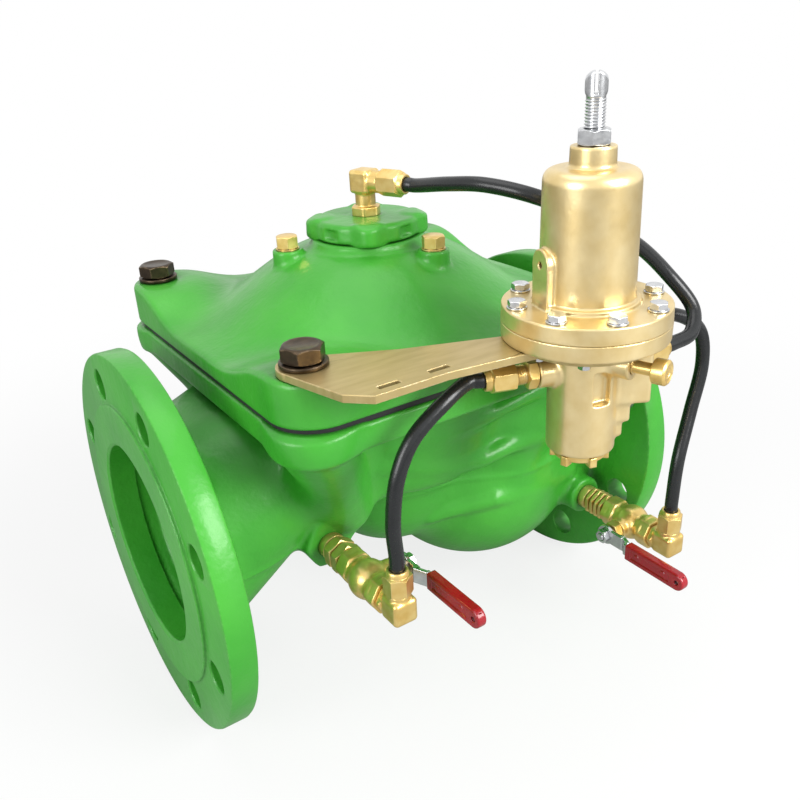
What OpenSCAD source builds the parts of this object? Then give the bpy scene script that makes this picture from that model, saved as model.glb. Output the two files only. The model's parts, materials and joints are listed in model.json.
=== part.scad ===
// Pilot-operated pressure reducing valve, DN150, flanged.
// Frame: origin on the pipe axis halfway between the flange faces, +Z up,
// +X towards the inlet flange, pilot circuit on the -Y side. Millimetres.

/* [Body] */
// Distance between the two flange faces
face_to_face = 400; // [396:1:404]
// Outside diameter of each pipe flange
flange_od = 285; // [280:1:290]
// Thickness of each pipe flange without its raised face
flange_t = 20; // [18:1:22]
// Diameter of the raised face
raised_face_d = 212; // [205:1:216]
// Pipe bore at the flanges
bore_d = 150; // [146:1:150]
// Bolt circle of each pipe flange
flange_pcd = 240; // [238:1:242]
// Number of bolt holes in each pipe flange
flange_holes = 8; // [8]
// Diameter of the flange bolt holes
flange_hole_d = 23; // [22:0.5:24]

/* [Bonnet] */
// Half the width of the square bonnet joint
bonnet_half = 148; // [146:1:150]
// Corner radius of the bonnet joint
bonnet_corner_r = 32; // [28:1:34]
// Half the pitch of the four bonnet bolts
bolt_half_pitch = 125.5; // [124:0.5:127]
// Top of the centre cap above the pipe axis
cap_top_z = 207; // [205:1:209]
// Distance of the two bonnet plugs from the bonnet's centre
bonnet_plug_r = 62; // [58:1:66]

/* [Main valve] */
// Radius of the main stem
stem_r = 10; // [10]
// Clear radius of the main seat
seat_r = 58; // [54:1:58]

/* [Pilot] */
// Pilot axis along X
pilot_x = 41; // [39:1:44]
// Pilot axis along Y
pilot_y = -195; // [-200:1:-194]
// Diameter of the pilot's clamped flange
pilot_flange_d = 105; // [102:1:106]
// Diameter of the pilot's lower body
pilot_body_d = 44; // [43:1:45]
// Diameter of the pilot's spring cover
pilot_cover_d = 62; // [60:1:64]
// Radius of the adjusting screw
screw_r = 6; // [6]

/* [Tubing] */
// Outside diameter of the control tubes
tube_d = 10; // [10]
// Wall thickness of the control tubes
tube_wall = 1.5; // [1:0.25:2]

/* [Ball valves] */
// Height of the outlet tapping above the pipe axis
outlet_tap_z = -2; // [-4:1:2]
// Height of the inlet tapping above the pipe axis
inlet_tap_z = -46; // [-48:1:-44]
// Length of the red hand grip
grip_length = 60; // [50:1:64]

/* [Hidden] */
$fn = 64;
fit = 0.05;                      // running clearance on radius
split_z = 121;                   // top face of the body
rubber_t = 4;                    // thickness of the main diaphragm
bonnet_z = split_z + rubber_t;   // underside of the bonnet
corner_z = 155;                  // bolt seats on the bonnet's corners
bonnet_x = 8;                    // bonnet and main stem axis along X
chamber_r = 104;                 // diaphragm chamber
seat_z = 34;                     // sealing plane of the main seat
floor_z = 30;                    // floor of the outlet chamber
bolt_r = 8;                      // M16 bonnet bolts
thread_end_z = 94;               // bottom of the bonnet bolt holes
plate_t = 5;                     // bracket plate
pf_z = corner_z + plate_t;       // underside of the pilot flange
pilot_joint_z = pf_z + 10;       // pilot diaphragm plane
pilot_top_z = pf_z + 21;         // top of the pilot flange
cover_top_z = pf_z + 100;        // shoulder top of the spring cover
neck_top_z = cover_top_z + 12;   // seat of the lock nut
pilot_bolt_pcd = 88;
tube_r = tube_d / 2;
outlet_tap = [-90, -82, outlet_tap_z];  // face centre of the outlet boss
inlet_tap = [152, -99, inlet_tap_z];    // face centre of the inlet boss
valve_start = 28;                // ball valve body, from the boss face
valve_end = 76;
stem_at = (valve_start + valve_end) / 2;
elbow_at = 89;                   // elbow corner, from the boss face
// Pilot ports: [angle, height, distance from pilot axis to the nut's end, boss radius]
outlet_port = [160, 138, 66, 10];
cap_port = [0, 131, 76, 10];
inlet_port = [36, 131, 60, 9.4];
PORTS = [outlet_port, cap_port, inlet_port];
test_port = [-72, 145];          // test point: [angle, height]
dome_top_z = 192.98;             // top of the bonnet, just clear of the centre cap
plug_angles = [165, -73];        // directions of the bonnet plugs
plug_seat_z = 189;               // spot faces under the bonnet plugs
cap_out_angle = -70;             // direction of the cap elbow
cap_elbow_z = 232;
cap_nut_end = 38;                // cap elbow axis to its nut's end

GREEN = [0.33, 0.72, 0.22];
BRASS = [0.85, 0.70, 0.38];
STEEL = [0.78, 0.78, 0.78];
BLACK = [0.08, 0.08, 0.09];
BRONZE = [0.30, 0.25, 0.18];
RED = [0.70, 0.05, 0.10];
IRON = [0.45, 0.45, 0.45];
WHITE = [0.95, 0.95, 0.92];

// ---------------------------------------------------------------- helpers

// Cylinder along +X from x = a to x = b
module xcyl(r, a, b) translate([a, 0, 0]) rotate([0, 90, 0]) cylinder(r = r, h = b - a);

// Cylinder along -Y, starting a and ending b from the origin
module ycyl(r, a, b) translate([0, -a, 0]) rotate([90, 0, 0]) cylinder(r = r, h = b - a);

// Vertical cylinder from z = a to z = b
module zcyl(r, a, b) translate([0, 0, a]) cylinder(r = r, h = b - a);

// Vertical ring from z = a to z = b
module ring(ro, ri, a, b) difference() {
    zcyl(ro, a, b);
    zcyl(ri, a - 1, b + 1);
}

// Hexagon prism, measured across its flats, from z = a to z = b
module hex(af, a, b) translate([0, 0, a]) cylinder(r = af / sqrt(3), h = b - a, $fn = 6);

// Hexagon nut with a round bore
module hex_nut(af, ri, a, b) difference() {
    hex(af, a, b);
    zcyl(ri, a - 1, b + 1);
}

// Turns a vertical shape so that its +Z points along -Y
module along_minus_y() rotate([90, 0, 0]) children();

// Turns a vertical shape so that its +Z points along +X
module along_x() rotate([0, 90, 0]) children();

// Square with round corners, centred, from z = a to z = b
module rounded_square(half, r, a, b) translate([0, 0, a]) linear_extrude(b - a) {
    square([2 * half, 2 * (half - r)], center = true);
    square([2 * (half - r), 2 * half], center = true);
    for (sx = [-1, 1], sy = [-1, 1]) translate([sx, sy] * (half - r)) circle(r);
}

// Puts its children on each of the four bonnet bolt axes
module at_bonnet_bolts() translate([bonnet_x, 0, 0])
    for (sx = [-1, 1], sy = [-1, 1]) translate([sx, sy, 0] * bolt_half_pitch) children();

module at_pilot() translate([pilot_x, pilot_y, 0]) children();

// Pilot port frame: +X points out of the port
module at_port(port) at_pilot() rotate(port[0]) translate([0, 0, port[1]]) children();

module at_pilot_bolts() at_pilot()
    for (k = [0:7]) rotate(22.5 + 45 * k) translate([pilot_bolt_pcd / 2, 0, 0]) children();

module at_bracket_screws() at_pilot()
    for (a = [90:45:225]) rotate(a) translate([38, 0, 0]) children();

// Tapping frames: the train runs along -Y and the lever side is +X
module at_outlet_tap() translate(outlet_tap) children();
module at_inlet_tap() translate(inlet_tap) mirror([1, 0, 0]) children();

function unit(v) = v / norm(v);

// Point on a Catmull-Rom curve through p, with t from 0 to len(p) - 1
function curve_point(p, t) =
    let (n = len(p) - 1, i = min(floor(t), n - 1), u = t - i,
        a = p[max(i - 1, 0)], b = p[i], c = p[i + 1], d = p[min(i + 2, n)])
    0.5 * (2 * b + (c - a) * u + (2 * a - 5 * b + 4 * c - d) * u * u
        + (3 * b - a - 3 * c + d) * u * u * u);

// Ring of points about each path point, square to the path
function sweep_rings(path, r, sides, ref) =
    [for (i = [0:len(path) - 1])
        let (t = unit(path[min(i + 1, len(path) - 1)] - path[max(i - 1, 0)]),
            n = unit(cross(t, ref)), b = cross(t, n))
        for (k = [0:sides - 1]) path[i] + r * (cos(360 * k / sides) * n
            + sin(360 * k / sides) * b)];

// Solid rod along a path
module sweep_rod(path, r, sides, ref) {
    m = len(path);
    polyhedron(sweep_rings(path, r, sides, ref), concat(
        [for (i = [0:m - 2], k = [0:sides - 1]) let (j = (k + 1) % sides)
            [i * sides + k, i * sides + j, (i + 1) * sides + j, (i + 1) * sides + k]],
        [[for (k = [sides - 1:-1:0]) k]],
        [[for (k = [0:sides - 1]) (m - 1) * sides + k]]), convexity = 8);
}

// Hollow tube along a curve through the given points
module control_tube(points, ref, steps = 4, sides = 12) {
    span = len(points) - 1;
    path = [for (i = [0:span * steps]) curve_point(points, i / steps)];
    m = len(path);
    inner = m * sides;
    verts = concat(sweep_rings(path, tube_r, sides, ref),
        sweep_rings(path, tube_r - tube_wall, sides, ref));
    last = (m - 1) * sides;
    polyhedron(verts, concat(
        [for (i = [0:m - 2], k = [0:sides - 1]) let (j = (k + 1) % sides)
            [i * sides + k, i * sides + j, (i + 1) * sides + j, (i + 1) * sides + k]],
        [for (i = [0:m - 2], k = [0:sides - 1]) let (j = (k + 1) % sides)
            [inner + (i + 1) * sides + k, inner + (i + 1) * sides + j,
                inner + i * sides + j, inner + i * sides + k]],
        [for (k = [0:sides - 1]) let (j = (k + 1) % sides) [inner + k, inner + j, j, k]],
        [for (k = [0:sides - 1]) let (j = (k + 1) % sides)
            [last + k, last + j, inner + last + j, inner + last + k]]), convexity = 8);
}

// Compression spring with a round wire, from z = a to z = b
module coil_spring(coil_r, wire_r, turns, a, b, per_turn = 20) {
    steps = turns * per_turn;
    rise = b - a - 2 * wire_r;
    sweep_rod([for (i = [0:steps]) let (w = 360 * i / per_turn)
        [coil_r * cos(w), coil_r * sin(w), a + wire_r + rise * i / steps]],
        wire_r, 8, [0, 0, 1]);
}

// ---------------------------------------------------------------- main valve

// Wall of the outlet chamber and the partition that carries the seat
module chamber_shell() translate([bonnet_x, 0, 0]) {
    translate([0, 0, 16]) cylinder(r1 = 99, r2 = 113, h = split_z - 19);
}

module outlet_passage(grow) hull() {
    xcyl(bore_d / 2 + grow, -face_to_face / 2 + 22 - grow / 5, -face_to_face / 2 + 24);
    for (s = [-1, 1]) translate([-60, s * 40, 70]) sphere(r = 36 + grow, $fn = 32);
}

module pipe_flange() {
    inner = face_to_face / 2 - 3;
    xcyl(flange_od / 2, inner - flange_t, inner);
    xcyl(raised_face_d / 2, inner - 1, face_to_face / 2);
}

module flange_bolt_holes() for (k = [0:flange_holes - 1])
    rotate([360 * (k + 0.5) / flange_holes, 0, 0]) translate([0, flange_pcd / 2, 0])
        xcyl(flange_hole_d / 2, face_to_face / 2 - 30, face_to_face / 2 + 1);

module valve_body() color(GREEN) difference() {
    union() {
        pipe_flange();
        mirror([1, 0, 0]) pipe_flange();
        outlet_passage(10);
        chamber_shell();
        translate([12, 0, 0]) sphere(r = 70);
        translate([100, 0, -20]) sphere(r = 96);
        xcyl(bore_d / 2 + 12, 130, face_to_face / 2 - 10);
        translate([bonnet_x, 0, 0])
            rounded_square(bonnet_half, bonnet_corner_r, split_z - 18, split_z);
        at_bonnet_bolts() {
            translate([0, 0, 48]) cylinder(r1 = 11, r2 = 21, h = split_z - 60);
            translate([0, 0, 48]) sphere(r = 11);
        }
        for (k = [0:3]) translate([bonnet_x, 0, 0]) rotate(45 + 90 * k)
            translate([90, -8, 62]) cube([84, 16, split_z - 70]);
        at_outlet_tap() ycyl(17, -50, 0);
        at_inlet_tap() ycyl(16, -50, 0);
    }
    // pipe bores and the inlet bowl under the seat
    xcyl(bore_d / 2, -face_to_face / 2 - 1, -face_to_face / 2 + 24);
    xcyl(bore_d / 2, 150, face_to_face / 2 + 1);
    difference() {
        union() {
            translate([12, 0, 0]) sphere(r = 60);
            translate([100, 0, -20]) sphere(r = 85);
        }
        chamber_shell();
    }
    // outlet chamber, outlet passage and seat
    outlet_passage(0);
    translate([bonnet_x, 0, floor_z]) cylinder(r1 = 88, r2 = chamber_r, h = split_z + 1 - floor_z);
    translate([bonnet_x, 0, 0]) zcyl(seat_r + 6 + fit, 0, floor_z + 1);
    // holes
    flange_bolt_holes();
    mirror([1, 0, 0]) flange_bolt_holes();
    at_bonnet_bolts() zcyl(bolt_r + fit, thread_end_z, split_z + 1);
    at_outlet_tap() ycyl(5, -50, 1);
    at_outlet_tap() ycyl(8.3 + fit, -15, 1);
    at_outlet_tap() translate([0, 46, 0]) zcyl(4, 0, 40);
    at_inlet_tap() ycyl(5, -45, 1);
    at_inlet_tap() ycyl(8.3 + fit, -15, 1);
}

module seat_ring() color(BRASS) translate([bonnet_x, 0, 0]) difference() {
    union() {
        ring(seat_r + 6, seat_r, 16.5, floor_z);
        ring(seat_r + 10, seat_r, floor_z + fit, seat_z - 1);
        ring(seat_r + 4, seat_r, floor_z, seat_z);
        zcyl(14, -4, 20);
        for (k = [0:2]) rotate(30 + 120 * k) translate([10, -3, 4]) cube([50, 6, 14]);
        for (k = [0:2]) rotate(30 + 120 * k) translate([57, -3, 8]) cube([4, 6, 12]);
    }
    zcyl(stem_r + fit, -10, 30);
    ring(seat_r + 12, seat_r + 3, 20.5, 23.5);
}

module seat_o_ring() color(BLACK) translate([bonnet_x, 0, 22]) rotate_extrude()
    translate([seat_r + 4.5, 0]) circle(r = 1.4, $fn = 24);

// Underside of the diaphragm sheet, from the clamped rim in to the washers
SHEET_UNDER = [[105, -4], [102.8, -4], [100.8, -10], [98.5, -24], [93.5, -37], [86, -46], [78, -49],
    [71, -47.5], [67, -46]];
// Upper side of the sheet, from the washers out to the rim
SHEET_OVER = [[67, -42], [71, -43.5], [78, -45], [83.5, -42.5], [90, -34.5], [95, -22.5],
    [98, -8], [99, 0], [105, 0]];

module main_diaphragm() color(BLACK) translate([bonnet_x, 0, 0]) difference() {
    union() {
        difference() {
            rounded_square(bonnet_half, bonnet_corner_r, split_z, bonnet_z);
            zcyl(chamber_r, split_z - 1, bonnet_z + 1);
        }
        translate([0, 0, bonnet_z]) rotate_extrude() polygon(concat(SHEET_UNDER,
            [[stem_r + fit, -46], [stem_r + fit, -42]], SHEET_OVER));
    }
    for (sx = [-1, 1], sy = [-1, 1]) translate([sx, sy, 0] * bolt_half_pitch)
        zcyl(bolt_r + 0.5, split_z - 1, bonnet_z + 1);
}

module main_stem() color(STEEL) translate([bonnet_x, 0, 0]) {
    zcyl(stem_r, -16, 160);
    zcyl(16, 54, 72);
}

module seal_disc() color(BLACK) translate([bonnet_x, 0, 0])
    ring(seat_r + 8, stem_r + fit, seat_z + fit, 42);

module disc_holder() color(IRON) translate([bonnet_x, 0, 0]) difference() {
    union() {
        zcyl(seat_r + 12, 42, 48);
        ring(seat_r + 12, seat_r + 8 + fit, 36, 42);
        translate([0, 0, 48]) cylinder(r1 = seat_r + 8, r2 = 26, h = 6);
    }
    zcyl(stem_r + fit, 30, 60);
}

module seal_retainer() color(BRASS) translate([bonnet_x, 0, 0])
    ring(seat_r - 8, stem_r + fit, 28, seat_z + fit);

module lower_stem_nut() color(STEEL) translate([bonnet_x, 0, 0])
    hex_nut(32, stem_r + fit, 21, 28);

module lower_diaphragm_washer() color(IRON) translate([bonnet_x, 0, 0])
    ring(66, stem_r + fit, 72, 79);

module upper_diaphragm_washer() color(IRON) translate([bonnet_x, 0, 0]) difference() {
    union() {
        zcyl(66, 83, 90);
        ring(34, 31.5, 90, 95);
    }
    zcyl(stem_r + fit, 80, 100);
}

module upper_stem_nut() color(STEEL) translate([bonnet_x, 0, 0])
    hex_nut(32, stem_r + fit, 90, 103);

module main_spring() color(STEEL) translate([bonnet_x, 0, 0])
    coil_spring(25.5, 2.75, 5, 90, 175);

// Outer height of the bonnet's dome above its plain plate, by radius
function dome_z(r) = dome_top_z - 58 + 26 * (1 + cos(180 * (r - 46) / 80));

module bonnet() color(GREEN) translate([bonnet_x, 0, 0]) difference() {
    union() {
        rounded_square(bonnet_half, bonnet_corner_r, bonnet_z, bonnet_z + 14);
        rotate_extrude() polygon(concat([[0, bonnet_z]],
            [for (r = [126:-8:46]) [r, dome_z(r)]], [[43, dome_top_z], [0, dome_top_z]]));
        for (k = [0:3]) rotate(45 + 90 * k) translate([80, -22, bonnet_z]) cube([94, 44, 24]);
        for (sx = [-1, 1], sy = [-1, 1]) translate([sx, sy, 0] * bolt_half_pitch)
            zcyl(22, bonnet_z, corner_z);
        for (a = plug_angles) rotate(a) translate([bonnet_plug_r, 0, 0]) zcyl(13, 165, plug_seat_z);
    }
    // diaphragm chamber, spring space and cap bore
    translate([0, 0, bonnet_z - 1]) cylinder(r = chamber_r, h = 8);
    translate([0, 0, bonnet_z + 6]) cylinder(r1 = chamber_r - 6, r2 = 36, h = 48);
    zcyl(36, 170, 180);
    zcyl(30 + fit, 170, 200);
    for (sx = [-1, 1], sy = [-1, 1]) translate([sx, sy, 0] * bolt_half_pitch)
        zcyl(bolt_r + 0.75, bonnet_z - 1, corner_z + 1);
    for (a = plug_angles) rotate(a) translate([bonnet_plug_r, 0, 0]) {
        zcyl(6.6 + fit, 140, plug_seat_z + 1);
        zcyl(10, plug_seat_z, cap_top_z);
    }
}

// Height of the plain washer under each bolt head, on top of what it clamps
function seat_height(sx, sy) = sx < 0 && sy < 0 ? pf_z : corner_z;

module bonnet_bolts() color(BRONZE) for (sx = [-1, 1], sy = [-1, 1])
    translate([bonnet_x + sx * bolt_half_pitch, sy * bolt_half_pitch, 0]) {
        hex(24, seat_height(sx, sy) + 3, seat_height(sx, sy) + 13);
        zcyl(bolt_r, thread_end_z + 2, seat_height(sx, sy) + 4);
    }

module bonnet_washers() color(BRONZE) for (sx = [-1, 1], sy = [-1, 1])
    translate([bonnet_x + sx * bolt_half_pitch, sy * bolt_half_pitch, 0])
        ring(15, bolt_r + fit, seat_height(sx, sy), seat_height(sx, sy) + 3);

module centre_cap() color(GREEN) translate([bonnet_x, 0, 0]) difference() {
    union() {
        zcyl(39, 193, cap_top_z);
        for (k = [0:3]) rotate(150 + 90 * k) translate([37, 0, 0]) zcyl(9, 193, cap_top_z);
        zcyl(30, 175, 194);
        zcyl(16, 150, 176);
    }
    zcyl(stem_r + fit, 149, 192);
    zcyl(8.3 + fit, 191, cap_top_z + 1);
    ring(32, 27.6, 183, 186);
}

module centre_cap_o_ring() color(BLACK) translate([bonnet_x, 0, 184.5]) rotate_extrude()
    translate([28.85, 0]) circle(r = 1.15, $fn = 24);

module bonnet_plugs() color(BRASS) translate([bonnet_x, 0, 0])
    for (a = plug_angles) rotate(a) translate([bonnet_plug_r, 0, 0]) {
        zcyl(6.6, 172, plug_seat_z + 1);
        hex(15, plug_seat_z, plug_seat_z + 10);
    }

module cap_elbow() color(BRASS) translate([bonnet_x, 0, 0]) difference() {
    union() {
        zcyl(8.3, 194, cap_top_z + 1);
        hex(19, cap_top_z, 214);
        zcyl(7.5, 214, 224);
        translate([0, 0, cap_elbow_z]) cube([17, 17, 17], center = true);
        rotate(cap_out_angle) translate([0, 0, cap_elbow_z]) {
            xcyl(8, 0, 16);
            xcyl(6.5, 15, 22);
        }
    }
    zcyl(4, 190, cap_elbow_z + 4);
    rotate(cap_out_angle) translate([0, 0, cap_elbow_z]) {
        xcyl(3.5, 0, 30);
        xcyl(tube_r + fit, 18, 30);
    }
}

// ---------------------------------------------------------------- pilot

module bracket_outline() {
    at_pilot() circle(r = 43);
    translate([bonnet_x - bolt_half_pitch, -bolt_half_pitch]) circle(r = 17);
    polygon([[-134, -129], [-122, -177], [-109, -190], [-60, -190], [-20, -196], [30, -205],
        [30, -176], [-4, -165], [-61, -142], [-104, -118]]);
}

module bracket() color([0.73, 0.66, 0.40]) translate([0, 0, corner_z]) linear_extrude(plate_t)
    difference() {
        bracket_outline();
        translate([bonnet_x - bolt_half_pitch, -bolt_half_pitch]) circle(r = bolt_r + 0.75);
        at_pilot() circle(r = pilot_body_d / 2 + 0.5);
        at_bracket_screws() circle(r = 2.3);
        for (x = [-95, -61]) translate([x, -182]) square([14, 4], center = true);
    }

module test_block() at_pilot() {
    rotate(-30) {
        translate([0, -12, 114]) cube([41, 24, pf_z - 5 - 114]);
        translate([0, -10.6, 101]) cube([29, 21.2, 17]);
        translate([0, -9, 90]) cube([25, 18, 14]);
    }
    rotate(test_port[0]) translate([0, 0, test_port[1]]) xcyl(9, 0, 33);
}

module pilot_body() color(BRASS) difference() {
    union() {
        at_pilot() zcyl(pilot_flange_d / 2, pf_z, pilot_joint_z);
        at_pilot() zcyl(pilot_body_d / 2, 83, pf_z + 1);
        for (p = PORTS) at_port(p) xcyl(p[3], 0, 32);
        test_block();
    }
    at_pilot() {
        zcyl(34, pilot_joint_z - 6, pilot_joint_z + 1);
        zcyl(3.5 + fit, 140, pilot_joint_z);
        zcyl(8, 139, 151);
        zcyl(12, 94, 140);
        zcyl(15 + fit, 82, 95);
        rotate(outlet_port[0]) translate([17, 0, 0]) zcyl(2, 137, 165);
        rotate(outlet_port[0]) translate([0, 0, 146]) xcyl(1.6, 0, 17);
        rotate(test_port[0]) translate([0, 0, test_port[1]]) {
            xcyl(2.5, 6, 40);
            xcyl(5 + fit, 22, 40);
        }
    }
    at_port(outlet_port) xcyl(3, 16, 40);
    at_port(cap_port) xcyl(3, 5, 40);
    at_port(inlet_port) xcyl(3, 5, 40);
    for (p = PORTS) at_port(p) xcyl(6.6 + fit, 23, 40);
    at_port(cap_port) xcyl(10.3, 32, 60);
    at_pilot_bolts() zcyl(3 + fit, pf_z + 1, pilot_joint_z + 1);
    at_bracket_screws() zcyl(2 + fit, pf_z - 1, pf_z + 6);
}

module pilot_diaphragm() color(BLACK) difference() {
    at_pilot() {
        z = pilot_joint_z;
        ring(pilot_flange_d / 2, 33, z, z + 1);
        rotate_extrude() polygon([[0, z + 4], [24, z + 4], [33.5, z], [34, z], [34, z + 1],
            [33.5, z + 1], [24, z + 5], [0, z + 5]]);
    }
    at_pilot_bolts() zcyl(3.5, pilot_joint_z - 1, pilot_joint_z + 2);
}

module pilot_spring_cover() color(BRASS) difference() {
    at_pilot() {
        zcyl(pilot_flange_d / 2, pilot_joint_z + 1, pilot_top_z);
        zcyl(pilot_cover_d / 2 + 3, pilot_top_z, pilot_top_z + 3);
        zcyl(pilot_cover_d / 2, pilot_top_z, cover_top_z - 9);
        translate([0, 0, cover_top_z - 9]) rotate_extrude()
            polygon(concat([[0, 0]], [for (a = [0:15:90])
                [pilot_cover_d / 2 - 9 + 9 * cos(a), 9 * sin(a)]], [[0, 9]]));
        zcyl(14.4, cover_top_z - 1, neck_top_z);
        rotate(165) translate([0, 0, pilot_top_z + 2]) {
            translate([0, -10, 0]) cube([34, 20, 18]);
            translate([0, 0, 18]) xcyl(10, 0, 34);
        }
    }
    at_pilot() {
        zcyl(34, pilot_joint_z, pilot_joint_z + 7);
        zcyl(25, pilot_joint_z, cover_top_z - 8);
        zcyl(screw_r + fit, cover_top_z - 10, neck_top_z + 1);
        rotate(165) translate([0, 0, pilot_top_z + 20]) xcyl(1.6, 20, 40);
    }
    at_pilot_bolts() zcyl(3.3, pilot_joint_z, pilot_top_z + 1);
}

// Flange bolts, each with its washer, screwed into the pilot body
module pilot_bolts() color(STEEL) at_pilot_bolts() {
    zcyl(6.2, pilot_top_z, pilot_top_z + 1.2);
    hex(10, pilot_top_z + 1.2, pilot_top_z + 5.2);
    zcyl(3, pf_z + 2, pilot_top_z + 2);
}

// Screws from below that hold the pilot on its bracket
module bracket_screws() color(STEEL) at_bracket_screws() {
    hex(7, corner_z - 3, corner_z);
    zcyl(2, corner_z - 1, pf_z + 5);
}

module pilot_spring() color(STEEL) at_pilot()
    coil_spring(17, 2.25, 6, pf_z + 21, cover_top_z - 15);

module pilot_lower_spring_seat() color(STEEL) at_pilot() {
    zcyl(22, pilot_joint_z + 5, pilot_joint_z + 11);
    zcyl(13, pilot_joint_z + 10, pilot_joint_z + 16);
}

module pilot_upper_spring_seat() color(STEEL) at_pilot() {
    zcyl(22, cover_top_z - 15, cover_top_z - 10);
    zcyl(13, cover_top_z - 20, cover_top_z - 14);
}

module adjusting_screw() color(STEEL) at_pilot() difference() {
    union() {
        zcyl(screw_r, cover_top_z - 10 + fit, 298);
        translate([0, 0, 297]) intersection() {
            zcyl(screw_r + 0.3, 0, 14);
            translate([0, 0, 7]) rotate([90, 0, -46]) cylinder(r = 8, h = 14, center = true);
        }
    }
    rotate(44) translate([-10, -0.9, 299]) cube([20, 1.8, 16]);
}

module lock_nut() color(STEEL) at_pilot()
    hex_nut(18, screw_r + fit, neck_top_z + fit, neck_top_z + 9);

module pilot_stem() color(STEEL) at_pilot() {
    zcyl(21, pilot_joint_z - 2, pilot_joint_z + 4);
    zcyl(3.5, 130, pilot_joint_z);
    zcyl(7.5, 129, 136 - fit);
}

module pilot_seat() color(STEEL) at_pilot() ring(12 - fit, 5, 136, 140);

module pilot_bottom_plug() color(BRASS) at_pilot() {
    zcyl(15, 83 - fit, 94);
    zcyl(17, 77, 83 - fit);
    for (k = [0:5]) rotate(14 + 60 * k) translate([12.5, -2.6, 74]) cube([6.5, 5.2, 7]);
}

module pilot_test_plug() color(BRASS) at_pilot() rotate(test_port[0])
    translate([0, 0, test_port[1]]) {
        xcyl(5, 23, 34);
        xcyl(4, 33, 47);
        xcyl(8, 46, 55);
    }

module pilot_port_fittings() color(BRASS) for (p = PORTS) at_port(p) difference() {
    union() {
        xcyl(6.6, 24, 33);
        along_x() hex(17, 32, 39);
        xcyl(6.5, 38, p[2] - 15);
    }
    xcyl(3, 20, 80);
}

// ---------------------------------------------------------------- tapping trains

module nipple(collars) color(BRASS) difference() {
    union() {
        ycyl(8.3, -13, 1);
        ycyl(10, 0, 7);
        ycyl(8, 6, 28);
        for (k = [0:collars - 1]) along_minus_y()
            hex(21, 9 + 19 * k / collars, 8 + 19 * (k + 1) / collars);
        ycyl(7, 27, 37);
    }
    ycyl(5, -20, 50);
}

module ball_valve_body() color(BRASS) difference() {
    union() {
        along_minus_y() hex(23, valve_start, valve_start + 11);
        ycyl(12, valve_start + 10, valve_end - 10);
        ycyl(13.5, stem_at - 8, stem_at + 8);
        along_minus_y() hex(23, valve_end - 11, valve_end);
        translate([0, -stem_at, 0]) xcyl(8, 0, 18);
    }
    ycyl(7 + fit, valve_start - 1, valve_start + 10);
    ycyl(7 + fit, valve_end - 10, valve_end + 1);
    ycyl(5, valve_start, valve_end);
    ycyl(9.2, stem_at - 10, stem_at + 10);
    translate([0, -stem_at, 0]) xcyl(4 + fit, 0, 20);
}

module ball() color(STEEL) difference() {
    translate([0, -stem_at, 0]) sphere(r = 8.5);
    ycyl(5, stem_at - 10, stem_at + 10);
    translate([7 - fit, -stem_at - 3.5, -1.6]) cube([4, 7, 3.2]);
}

module ball_seats() color(WHITE) difference() {
    union() {
        ycyl(9.15, stem_at - 9.95, stem_at - 5);
        ycyl(9.15, stem_at + 5, stem_at + 9.95);
    }
    ycyl(5, stem_at - 11, stem_at + 11);
    translate([0, -stem_at, 0]) sphere(r = 8.5 + fit);
}

module valve_stem() color(STEEL) translate([0, -stem_at, 0]) {
    translate([7, -3, -1.5]) cube([2.5, 6, 3]);
    xcyl(4, 8.6, 28);
    xcyl(3, 27, 37);
}

module gland_nut() color(BRASS) translate([0, -stem_at, 0]) along_x()
    hex_nut(14, 4 + fit, 18, 25);

// Steel lever: a flat end on the stem, a cranked neck, and a tang inside the grip
module lever() color(STEEL) translate([0, -stem_at, 0]) difference() {
    union() {
        xcyl(8, 28, 31);
        translate([28, -16, -6]) cube([3, 16, 12]);
        translate([28, -16, -6]) rotate([0, 0, -60]) cube([9, 3, 12]);
        translate([31.5, -78, -5]) cube([3, 56, 10]);
    }
    xcyl(3 + fit, 20, 40);
}

module grip() color(RED) translate([0, -stem_at, 0]) difference() {
    union() {
        translate([29.5, -14 - grip_length, -7]) cube([7, grip_length - 12, 14]);
        translate([0, -14 - grip_length, 0]) xcyl(7, 29.5, 36.5);
    }
    translate([31.5 - fit, -78 - fit, -5 - fit]) cube([3 + 2 * fit, 80, 10 + 2 * fit]);
    for (s = [-1, 1]) translate([33 + s * 3.5, -16 - grip_length / 2, 0])
        cube([1, grip_length - 22, 5], center = true);
}

module lever_nut() color(WHITE) translate([0, -stem_at, 0]) along_x()
    hex_nut(10, 3 + fit, 31, 36);

module tap_elbow() color(BRASS) difference() {
    union() {
        ycyl(7, valve_end - 9, valve_end + 1);
        along_minus_y() hex(19, valve_end, valve_end + 4);
        ycyl(8, valve_end + 3, elbow_at);
        translate([0, -elbow_at, 0]) {
            cube([18, 18, 18], center = true);
            zcyl(8, 0, 12);
            zcyl(6.5, 11, 19);
        }
    }
    ycyl(4, valve_end - 20, elbow_at + 4);
    translate([0, -elbow_at, 0]) {
        zcyl(3.5, 0, 30);
        zcyl(tube_r + fit, 14, 30);
    }
}

// Compression nut along +Z: it starts on a threaded end and lets a tube out
module tube_nut(a, b) difference() {
    hex(17, a, b);
    zcyl(6.5 + fit, a - 1, a + 7 + fit);
    zcyl(tube_r + fit, a, b + 1);
}

module compression_nuts() color(BRASS) {
    for (p = PORTS) at_port(p) along_x() tube_nut(p[2] - 20, p[2]);
    at_outlet_tap() translate([0, -elbow_at, 0]) tube_nut(12.1, 30);
    at_inlet_tap() translate([0, -elbow_at, 0]) tube_nut(12.1, 30);
    translate([bonnet_x, 0, cap_elbow_z]) rotate(cap_out_angle)
        along_x() tube_nut(16.1, cap_nut_end);
}

// ---------------------------------------------------------------- control tubes

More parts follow.
